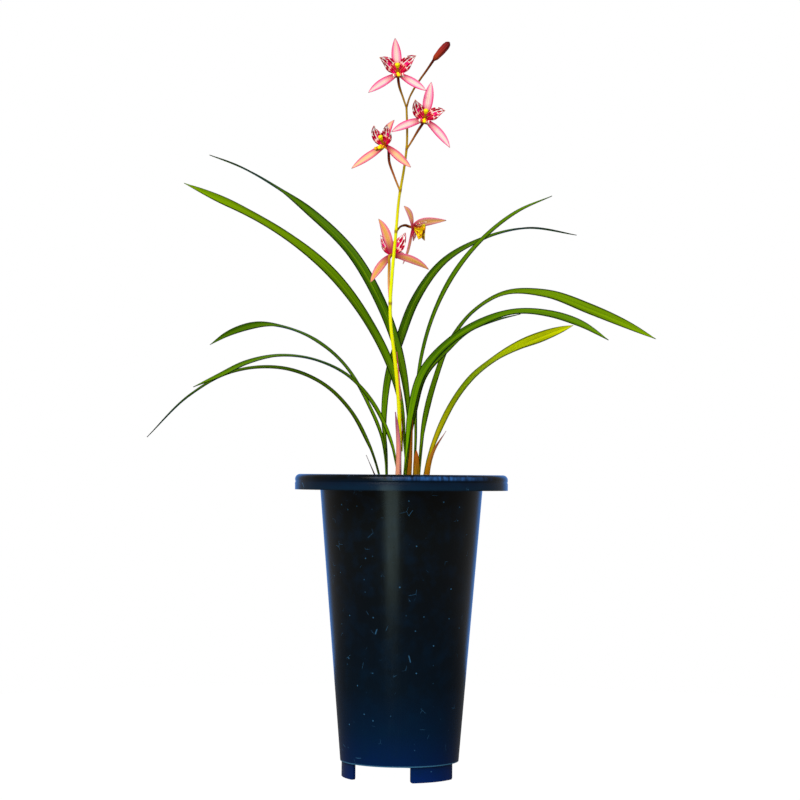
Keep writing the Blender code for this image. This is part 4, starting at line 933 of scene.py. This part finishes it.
SCAR_DROP = 0.0006
JOINT_SWELLING = 0.16
JOINT_REACH = 0.0022
SCAPE_ROWS = 150
SCAPE_SIDES = 20
SCAPE_COURSE_ROWS = 200
SCAPE_COURSE = smooth_route(SCAPE, SCAPE_COURSE_ROWS)


def scape_at(height):
    """Centre and radius of the flower stem at a height."""
    route = SCAPE_COURSE
    x, y, radius = (float(np.interp(height, route[:, 2], route[:, k])) for k in (0, 1, 3))
    return Vector((x, y, height)), radius


def stem_skin():
    """Fleshy stem: even yellow skin, a brown ring at each joint."""
    made, tree = new_material("yellow stem skin", 0.4, 0.08)
    place = add(tree, "TexCoord", {}, out="Object")
    height = add(tree, "SeparateXYZ", {}, {0: place}, 2)
    low, high = SCAPE[0][2], SCAPE[-1][2]
    share = add(tree, "MapRange", {"From Min": low, "From Max": high}, {"Value": height})
    base = add(tree, "ValToRGB", {"stops": SCAPE_HUES}, {0: share})
    for joint in SCAPE_JOINTS:
        gap = height_gap(tree, height, joint - SCAR_DROP)
        base = tint(tree, base, "#8A4A10", gap, JOINT_REACH, SCAR_DROP, 0.75)
    # Faint streaks, drawn about a millimetre apart, coarser than the real ones, so that they show
    streak = drawn_noise(tree, place, (1.0, 1.0, 0.08), 1000.0, 2.0)
    return cover(made, {"Base Color": base}, streak, 0.15)


def make_scape():
    route = smooth_route(SCAPE, SCAPE_ROWS)
    for joint in SCAPE_JOINTS:
        route[:, 3] *= 1.0 + JOINT_SWELLING * np.exp(-((route[:, 2] - joint) / JOINT_REACH) ** 2)
    editor = bmesh.new()
    tube(editor, route, SCAPE_SIDES)
    settle(new_piece("flower_stem", editor, stem_skin()), "scape")


make_scape()

# The stem's bracts. Three thin pointed sheaths wrap the lower half of the flower stem, salmon
# to maroon, each grown onto the stem at its foot and standing slightly off it at the tip.
SCAPE_BRACTS = {
    "scape_bract_1": (0.2480, 0.3140, -140, 210, 0.0018, ("#F2AE7E", "#F08878", "#8A2A72"), "#A85A8A"),
    "scape_bract_2": (0.2800, 0.3085, 20, 60, 0.0008, ("#8A2A1A", "#7A2A10", "#6A3A10"), "#5A1408"),
    "scape_bract_3": (0.3240, 0.3660, 0, 120, 0.0003, ("#F6B878", "#F8988C", "#E0507E"), "#C8325A"),
}
BRACT_THICKNESS = 0.0005
BRACT_LIFT = 0.0003 + BRACT_THICKNESS * 0.6
BRACT_TAPER_POWER = 1.8
BRACT_TIP_SHARE = 0.06
BRACT_VEINS = 8
BRACT_ROWS = 24
BRACT_COLUMNS = 16


def bract_skin(name, hues, margin_hue):
    """Bract: thin papery skin with fine veins and a deeper margin."""
    stops = tuple(zip((0.0, 0.55, 1.0), hues))
    made, tree, at, base = blade_material(name, 0.6, 0.05, stops)
    base = tint(tree, base, margin_hue, at["margin"], 0.5, 0.95, 0.8)
    return cover(made, {"Base Color": base}, vein_lines(tree, at["across"], BRACT_VEINS), 0.3)


def make_scape_bract(name, low, high, heading, wrap, flare, hues, margin_hue):
    editor = bmesh.new()
    bmesh.ops.create_grid(editor, x_segments=BRACT_COLUMNS, y_segments=BRACT_ROWS, size=1.0)
    mark_uv(editor)
    for vert in editor.verts:
        share = (vert.co.y + 1.0) / 2.0
        centre, radius = scape_at(low + share * (high - low))
        reach = radius + BRACT_LIFT + flare * share ** 3
        half = math.radians(wrap / 2) * max(1.0 - share ** BRACT_TAPER_POWER, BRACT_TIP_SHARE)
        angle = math.radians(heading) + half * vert.co.x
        vert.co = centre + Vector((math.cos(angle), math.sin(angle), 0.0)) * reach
    skin = bract_skin(name + " skin", hues, margin_hue)
    thin_piece(name + "_skin", editor, skin, BRACT_THICKNESS, name)


for name, bract in SCAPE_BRACTS.items():
    make_scape_bract(name, *bract)

# The flowers. Each has three spreading sepals, two petals that hood the column, a three-lobed
# lip and a column with its anther cap, all borne by a ribbed ovary that narrows to a stalk.
# Places are the centre, the way it faces, and the tips of its parts from its centre.
PINK = ("#FCCEBC", "#F88EB0", "#E4246E", "#C00046")
PEACH = ("#FAC084", "#F4908E", "#D83068", "#AC043C")
OCHRE = ("#DEA044", "#EC907C", "#D8507E", "#AC1844")
# APRICOT, flower_4's hues, is made lighter than the flower's own colour as painted light, to lift the
# shade it hangs in
APRICOT = ("#F6B45C", "#FCAC94", "#F0789C", "#C42858")
STRIPED_LIP = ((0.0, "#FFE800"), (0.24, "#FFD400"), (0.29, "#E00818"), (0.56, "#A0001C"),
               (0.62, "#FFE8CC"), (0.90, "#FFF0E2"), (1.0, "#E0205A"))
BLOTCHED_LIP = ((0.0, "#FFE600"), (0.30, "#FFCE00"), (0.36, "#CC0018"), (0.50, "#90000C"),
                (0.56, "#FFDC00"), (0.88, "#FFC800"), (1.0, "#B80018"))
FLOWERS = {
    "flower_1": {
        "centre": (-0.0057, -0.0170, 0.6073),
        "faces": (0.00, -0.99, 0.10),
        "sepals": ((-0.0027, -0.0030, 0.0303), (-0.0254, -0.0050, -0.0176), (0.0243, -0.0075, -0.0160)),
        "sepal_bows": (0.0, 0.06, 0.06),
        "petals": ((-0.0160, -0.0150, 0.0109), (0.0154, -0.0150, 0.0129)),
        "petal_widths": (0.0112, 0.0112),
        "petal_bows": (0.20, 0.18),
        "hues": PINK,
        "joint": 0.5799,
        "stalk": ((-0.0013, -0.0110, 0.5879), (-0.0045, -0.0130, 0.5972)),
        "stalk_hues": ("#A88000", "#B07A00", "#6A1804", "#420406"),
    },
    "flower_2": {
        "centre": (0.0179, -0.0150, 0.5682),
        "faces": (0.00, -0.99, 0.05),
        "sepals": ((0.0054, 0.0020, 0.0327), (-0.0288, -0.0015, -0.0116), (0.0217, -0.0050, -0.0254)),
        "sepal_bows": (0.0, 0.09, 0.10),
        "petals": ((-0.0087, -0.0150, 0.0143), (0.0172, -0.0130, 0.0053)),
        "petal_widths": (0.0114, 0.0106),
        "petal_bows": (-0.16, 0.18),
        "hues": PINK,
        "joint": 0.5430,
        "stalk": ((0.0060, -0.0108, 0.5483), (0.0119, -0.0112, 0.5583)),
        "stalk_hues": ("#B47A04", "#9A5604", "#621804", "#3A0406"),
    },
    "flower_3": {
        "centre": (-0.0164, -0.0160, 0.5451),
        "faces": (-0.46, -0.87, 0.05),
        "sepals": ((0.0077, 0.0200, 0.0251), (-0.0290, 0.0060, -0.0197), (0.0224, -0.0080, -0.0203)),
        "sepal_bows": (0.0, 0.08, 0.02),
        "petals": ((-0.0097, -0.0080, 0.0157), (0.0017, -0.0150, 0.0158)),
        "petal_widths": (0.0112, 0.0108),
        "petal_bows": (-0.30, 0.0),
        "hues": PEACH,
        "lip_hues": BLOTCHED_LIP,
        "joint": 0.5067,
        "stalk": ((-0.0080, -0.0120, 0.5179), (-0.0125, -0.0120, 0.5305)),
        "stalk_hues": ("#CC8A24", "#B05A1C", "#701C0C", "#4A0608"),
    },
    "flower_4": {
        "centre": (0.0084, -0.0080, 0.4746),
        "faces": (0.92, -0.28, -0.27),
        "sepals": ((0.0291, 0.0120, 0.0078), (-0.0080, -0.0180, 0.0164), (-0.0086, 0.0120, -0.0307)),
        "sepal_bows": (0.0, 0.08, 0.07),
        "petals": ((0.0119, -0.0036, 0.0046), (0.0001, 0.0100, -0.0107)),
        "petal_widths": (0.0048, 0.0084),
        "petal_bows": (0.0, 0.0),
        "lip_scale": 1.2,
        "hues": APRICOT,
        "lip_hues": BLOTCHED_LIP,
        "joint": 0.4710,
        "stalk": ((-0.0022, -0.0105, 0.4752), (0.0018, -0.0095, 0.4763)),
        "stalk_hues": ("#7A5004", "#4A2004", "#6A3004", "#A85A10"),
    },
    "flower_5": {
        "centre": (-0.0101, -0.0035, 0.4514),
        "faces": (0.38, 0.83, 0.40),
        "sepals": ((-0.0115, -0.0010, 0.0308), (-0.0181, 0.0070, -0.0238), (0.0323, -0.0035, -0.0132)),
        "sepal_bows": (-0.20, 0.14, 0.19),
        "petals": ((-0.0099, 0.0155, 0.0187), (0.0120, 0.0125, 0.0205)),
        "petal_widths": (0.0080, 0.0128),
        "petal_bows": (0.0, -0.12),
        "hues": OCHRE,
        "joint": 0.4084,
        "stalk": ((-0.0123, -0.0102, 0.4241), (-0.0120, -0.0070, 0.4410)),
        "stalk_hues": ("#F09A74", "#E89A6A", "#C08424", "#B88A04"),
    },
}
# Light comes through the thin tepals and lip: a fifth of full brightness, given as a faint glow
THIN_GLOW = {"Emission Strength": 0.20}
SEPAL_WIDTHS = (0.0088, 0.0072, 0.0072)
SEPAL_VEINS = 5
SEPAL_CUP = 12
SEPAL_LEVEL = -0.0006
PETAL_CUP = 26
PETAL_LEVEL = 0.0009
TEPAL_THICKNESS = 0.0005
TEPAL_TIP_WIDTH = 0.0004
TEPAL_ROWS = 32
TEPAL_COLUMNS = 10
TEPAL_BEND = 0.55
LEAST_LIFT = 0.05
TEPAL_ROOT = 0.0005
TEPAL_BELLY = (0.10, 0.90, 1.08, 0.78)
HUB_THICKNESS = 0.0012
STALK_ROWS = 40
STALK_SIDES = 16
STALK_GROOVES = 3
STALK_RIB = 0.08
STALK_STRAIGHT = 0.0030
STALK_START = 0.5
STALK_RADII = (0.0008, 0.0009, 0.0012, 0.0012)
COLUMN_ROUTE = ((0.0, -0.0008, 0.0020), (0.0002, 0.0006, 0.0022), (0.0010, 0.0022, 0.0014),
                (0.0018, 0.0040, 0.0012), (0.0034, 0.0058, 0.0013), (0.0052, 0.0074, 0.0020),
                (0.0062, 0.0086, 0.0020), (0.0067, 0.0092, 0.0012))
COLUMN_END = (0.0012, 0.0004)
COLUMN_ROWS = 28
COLUMN_SIDES = 20
LIP_ROUTE = ((-0.0014, 0.0019), (-0.0013, 0.0045), (-0.0010, 0.0076), (-0.0020, 0.0100),
             (-0.0044, 0.0108), (-0.0064, 0.0098))
LIP_WIDTHS = (0.0028, 0.0058, 0.0128, 0.0142, 0.0098, 0.0100, 0.0104, 0.0060)
LIP_CUPS = (10, 34, 44, 46, 26, 6, -8, -8)
LIP_ROWS = 36
LIP_COLUMNS = 16


def flower_axes(flower):
    """Centre, forward, up and right of a flower; up leans to its upper sepal."""
    forward = Vector(flower["faces"]).normalized()
    up = Vector(flower["sepals"][0])
    up = (up - forward * up.dot(forward)).normalized()
    return Vector(flower["centre"]), forward, up, up.cross(forward)


def tepal(editor, flower, tip, level, width, cup, bow):
    """One sepal or petal: it leaves the flower's centre flat, then bends to its tip."""
    centre, forward, up, right = flower_axes(flower)
    root = centre + forward * level
    reach = Vector(tip)
    end = centre + reach
    spread = reach - forward * reach.dot(forward)
    outward = spread.normalized()
    lift = up - outward * up.dot(outward)
    lift = lift.normalized() if lift.length > LEAST_LIFT else right
    bend = root + spread * TEPAL_BEND + lift * bow * spread.length
    low, rise, power, roundness = TEPAL_BELLY
    route, widths, folds = [], [], []
    for share in np.linspace(0.0, 1.0, TEPAL_ROWS):
        share = float(share)
        point = root * (1 - share) ** 2 + bend * 2 * share * (1 - share) + end * share ** 2
        route.append(point + outward * TEPAL_ROOT * (1 - share))
        belly = max(math.sin(math.pi * (low + rise * share ** power)), 0.0) ** roundness
        widths.append(max(width * belly, TEPAL_TIP_WIDTH))
        folds.append(cup * share)
    sides, faces = facing(tangents([tuple(point) for point in route]), forward)
    blade(editor, route, sides, faces, widths, folds, TEPAL_COLUMNS)


def tepal_ring(name, flower, kind, level, widths, cup, bows, material):
    """Sepals or petals of one flower, spread round its centre."""
    editor = bmesh.new()
    for tip, width, bow in zip(flower[kind], widths, bows):
        tepal(editor, flower, tip, level, width, cup, bow)
    node = name + "_" + kind
    thin_piece(node + "_ring", editor, material, TEPAL_THICKNESS, node)


def sepal_skin(name, hues):
    """Sepal: soft translucent skin, pale in the middle, pink towards the margin, fine veins."""
    middle_hue, flank_hue, margin_hue, root_hue = hues
    stops = ((0.25, middle_hue), (0.58, flank_hue), (0.88, margin_hue))
    made, tree, at, base = blade_material(name, 0.55, 0.06, stops, "margin", THIN_GLOW)
    # Fine pink veins from root to tip
    veins = vein_lines(tree, at["across"], SEPAL_VEINS)
    base = tint(tree, base, flank_hue, veins, 0.35, 0.95, 0.55)
    base = tint(tree, base, root_hue, at["along"], 0.40, 0.12, 0.9)
    base = tint(tree, base, "#7A5A50", at["along"], 0.94, 1.0, 0.8)
    return cover(made, {"Base Color": base, "Emission Color": base}, veins, 0.2)


def petal_skin():
    """Petal: cream skin with rows of crimson and maroon dashes, crimson at the root."""
    stops = ((0.0, "#B00020"), (0.22, "#E01048"), (0.36, "#FFA8A0"), (0.48, "#FFF8F4"),
             (0.9, "#FFFEFC"), (1.0, "#F6E6C0"))
    made, tree, at, ground = blade_material("spotted petal skin", 0.55, 0.06, stops, others=THIN_GLOW)
    # A yellow streak along the lower part of the midline
    narrow = add(tree, "MapRange", {"From Min": 0.24, "From Max": 0.10}, {"Value": at["margin"]})
    lower = {"From Min": 0.72, "From Max": 0.50, "To Max": 0.55}
    low = add(tree, "MapRange", lower, {"Value": at["along"]})
    streak = add(tree, "Math", {"operation": "MULTIPLY"}, {0: narrow, 1: low})
    ground = tint(tree, ground, "#F0D040", streak)
    # Dashes about 1.8 mm apart across the petal and 5 mm along it, a little smaller towards its tip
    cells = add(tree, "Mapping", {"Scale": (6.0, 4.4, 1.0)}, {0: at["uv"]})
    rows = {"voronoi_dimensions": "2D", "Scale": 1.0, "Randomness": 0.75}
    dash = add(tree, "TexVoronoi", rows, {"Vector": cells}, "Distance")
    size = add(tree, "Math", {"operation": "MULTIPLY_ADD", 1: 0.03}, {0: at["along"], 2: dash})
    spot = add(tree, "MapRange", {"From Min": 0.57, "From Max": 0.51}, {"Value": size})
    tone = add(tree, "SeparateColor", {}, {0: dash.node.outputs["Color"]})
    stops = ((0.0, "#600010"), (0.45, "#9C0020"), (0.80, "#D8003E"), (1.0, "#F01474"))
    ink = add(tree, "ValToRGB", {"stops": stops}, {0: tone})
    base = add(tree, "Mix", {"data_type": "RGBA"}, {0: spot, 6: ground, 7: ink}, 2)
    return cover(made, {"Base Color": base, "Emission Color": base})


def column_skin():
    """Column: crimson foot, ochre flesh above it, and a bright yellow anther cap."""
    stops = ((0.0, "#A80C24"), (0.20, "#A04008"), (0.45, "#B87008"), (0.63, "#A86A06"),
             (0.71, "#F4DC00"), (1.0, "#FCEC00"))
    flesh = blade_material("column flesh", 0.45, 0.1, stops)
    return cover(flesh[0], {"Base Color": flesh[-1]})


def lip_skin(name, stops):
    """Lip: bands of colour from its midline to its edges, broken by blotches, and a maroon tip."""
    made, tree, at, base = blade_material(name, 0.5, 0.08, stops, "margin", THIN_GLOW)
    # Blotches about 2 mm across shift the ramp's place
    blotch = drawn_noise(tree, at["uv"], (8.0, 8.0, 1.0), 1.0, 2.0)
    shift = add(tree, "Math", {"operation": "MULTIPLY_ADD", 1: 1.4, 2: -0.7}, {0: blotch})
    place = add(tree, "Math", {"operation": "ADD"}, {0: at["margin"], 1: shift})
    tree.links.new(place, base.node.inputs[0])
    base = tint(tree, base, "#4E0612", at["along"], 0.84, 0.94, 0.9)
    return cover(made, {"Base Color": base, "Emission Color": base})


def stalk_skin(name, hues):
    """Stalk and ovary: smooth grooved flesh, coloured from the stem towards the flower."""
    stops = tuple(zip((0.0, 0.3, 0.7, 1.0), hues))
    made, tree, at, base = blade_material(name, 0.45, 0.05, stops)
    return cover(made, {"Base Color": base}, vein_lines(tree, at["across"], STALK_GROOVES), 0.3)


def joint_place(flower):
    """Start of a stalk, just inside the flower stem at the height where it is grown onto it."""
    middle, radius = scape_at(flower["joint"])
    out = Vector(flower["stalk"][0]) - middle
    out = Vector((out.x, out.y, 0.0)).normalized()
    return tuple(middle + out * radius * STALK_START)


def evenly(values, count):
    """Values read at even steps along a row of stations."""
    return np.interp(np.linspace(0.0, 1.0, count), np.linspace(0.0, 1.0, len(values)), values)


def make_stalk(name, flower):
    centre, forward = flower_axes(flower)[:2]
    end = centre + forward * (SEPAL_LEVEL - HUB_THICKNESS / 2)
    neck = end - forward * STALK_STRAIGHT
    stations = [joint_place(flower), *flower["stalk"], tuple(neck), tuple(end)]
    route = np.column_stack([smooth_route(stations, STALK_ROWS), evenly(STALK_RADII, STALK_ROWS)])
    editor = bmesh.new()
    tube(editor, route, STALK_SIDES,
         rib=lambda angle, share: 1.0 + STALK_RIB * share * math.cos(STALK_GROOVES * angle))
    skin = stalk_skin(name + " stalk skin", flower["stalk_hues"])
    settle(new_piece(name + "_stalk_and_ovary", editor, skin), name + "_stalk")


def make_column(name, flower, material):
    centre, forward, up = flower_axes(flower)[:3]
    stations = [(*(centre + up * rise + forward * out), radius) for rise, out, radius in COLUMN_ROUTE]
    route = smooth_route(stations, COLUMN_ROWS)
    route[-2:, 3] = COLUMN_END
    editor = bmesh.new()
    tube(editor, route, COLUMN_SIDES)
    settle(new_piece(name + "_column_and_cap", editor, material), name + "_column")


def make_lip(name, flower, material):
    centre, forward, up, right = flower_axes(flower)
    scale = flower.get("lip_scale", 1.0)
    route = smooth_route([(0.0, rise, out) for rise, out in LIP_ROUTE], LIP_ROWS) * scale
    points = [centre + up * float(rise) + forward * float(out) for rise, out in route[:, 1:]]
    along = tangents([tuple(point) for point in points])
    widths = (evenly(LIP_WIDTHS, LIP_ROWS) * scale).tolist()
    cups = evenly(LIP_CUPS, LIP_ROWS).tolist()
    faces = [right.cross(heading).normalized() for heading in along]
    editor = bmesh.new()
    blade(editor, points, [right] * LIP_ROWS, faces, widths, cups, LIP_COLUMNS)
    thin_piece(name + "_lip_blade", editor, material, TEPAL_THICKNESS, name + "_lip")


petal_material = petal_skin()
column_material = column_skin()
for name, flower in FLOWERS.items():
    make_stalk(name, flower)
    sepal_material = sepal_skin(name + " sepal skin", flower["hues"])
    tepal_ring(name, flower, "sepals", SEPAL_LEVEL, SEPAL_WIDTHS, SEPAL_CUP, flower["sepal_bows"],
               sepal_material)
    tepal_ring(name, flower, "petals", PETAL_LEVEL, flower["petal_widths"], PETAL_CUP,
               flower["petal_bows"], petal_material)
    make_column(name, flower, column_material)
    make_lip(name, flower, lip_skin(name + " lip flesh", flower.get("lip_hues", STRIPED_LIP)))

# The bud. The last flower of the stem is still closed: three sepals pressed into a slender
# spindle, brown-red with a dark tip, on a thin stalk that carries on from the stem's top.
BUD_STALK = (
    (0.0022, -0.0100, 0.5798, 0.0009),
    (0.0044, -0.0096, 0.5874, 0.0008),
    (0.0079, -0.0090, 0.5947, 0.0009),
    (0.0137, -0.0085, 0.6040, 0.0009),
    (0.0195, -0.0082, 0.6123, 0.0010),
    (0.0253, -0.0080, 0.6211, 0.0012),
)
BUD_STALK_HUES = ("#8A5A04", "#B07A04", "#7A3A04", "#420606")
BUD_TIP = (0.0390, -0.0080, 0.6369)
BUD_SHARES = (0.0, 0.04, 0.10, 0.30, 0.60, 0.85, 0.94, 1.0)
BUD_RADII = (0.0012, 0.0017, 0.0023, 0.0029, 0.0033, 0.0029, 0.0021, 0.0006)
BUD_VEINS = 9
BUD_RIB = 0.07
BUD_RIBS = 3
BUD_ROWS = 40
BUD_SIDES = 36
BUD_STALK_ROWS = 48
BUD_STALK_SIDES = 14


def bud_skin():
    """Closed sepals: brick red with maroon seams and tip."""
    stops = ((0.0, "#7A2A10"), (0.15, "#A03418"), (0.55, "#8E2020"), (0.85, "#6A1420"),
             (1.0, "#1E0A10"))
    made, tree, at, base = blade_material("bud skin", 0.5, 0.05, stops)
    veins = vein_lines(tree, at["across"], BUD_VEINS)
    base = tint(tree, base, "#C8401E", veins, 0.3, 0.95, 0.5)
    return cover(made, {"Base Color": base}, veins, 0.3)


def make_bud():
    editor = bmesh.new()
    tube(editor, smooth_route(BUD_STALK, BUD_STALK_ROWS), BUD_STALK_SIDES)
    skin = stalk_skin("bud stalk skin", BUD_STALK_HUES)
    settle(new_piece("bud_stem", editor, skin), "bud_stalk")
    base = Vector(BUD_STALK[-1][:3])
    reach = Vector(BUD_TIP) - base
    stations = [(*(base + reach * share), radius) for share, radius in zip(BUD_SHARES, BUD_RADII)]
    editor = bmesh.new()
    tube(editor, smooth_route(stations, BUD_ROWS), BUD_SIDES,
         rib=lambda turn, share: 1.0 + BUD_RIB * math.sin(math.pi * share) * math.cos(BUD_RIBS * turn))
    settle(new_piece("closed_bud", editor, bud_skin()), "bud")


make_bud()
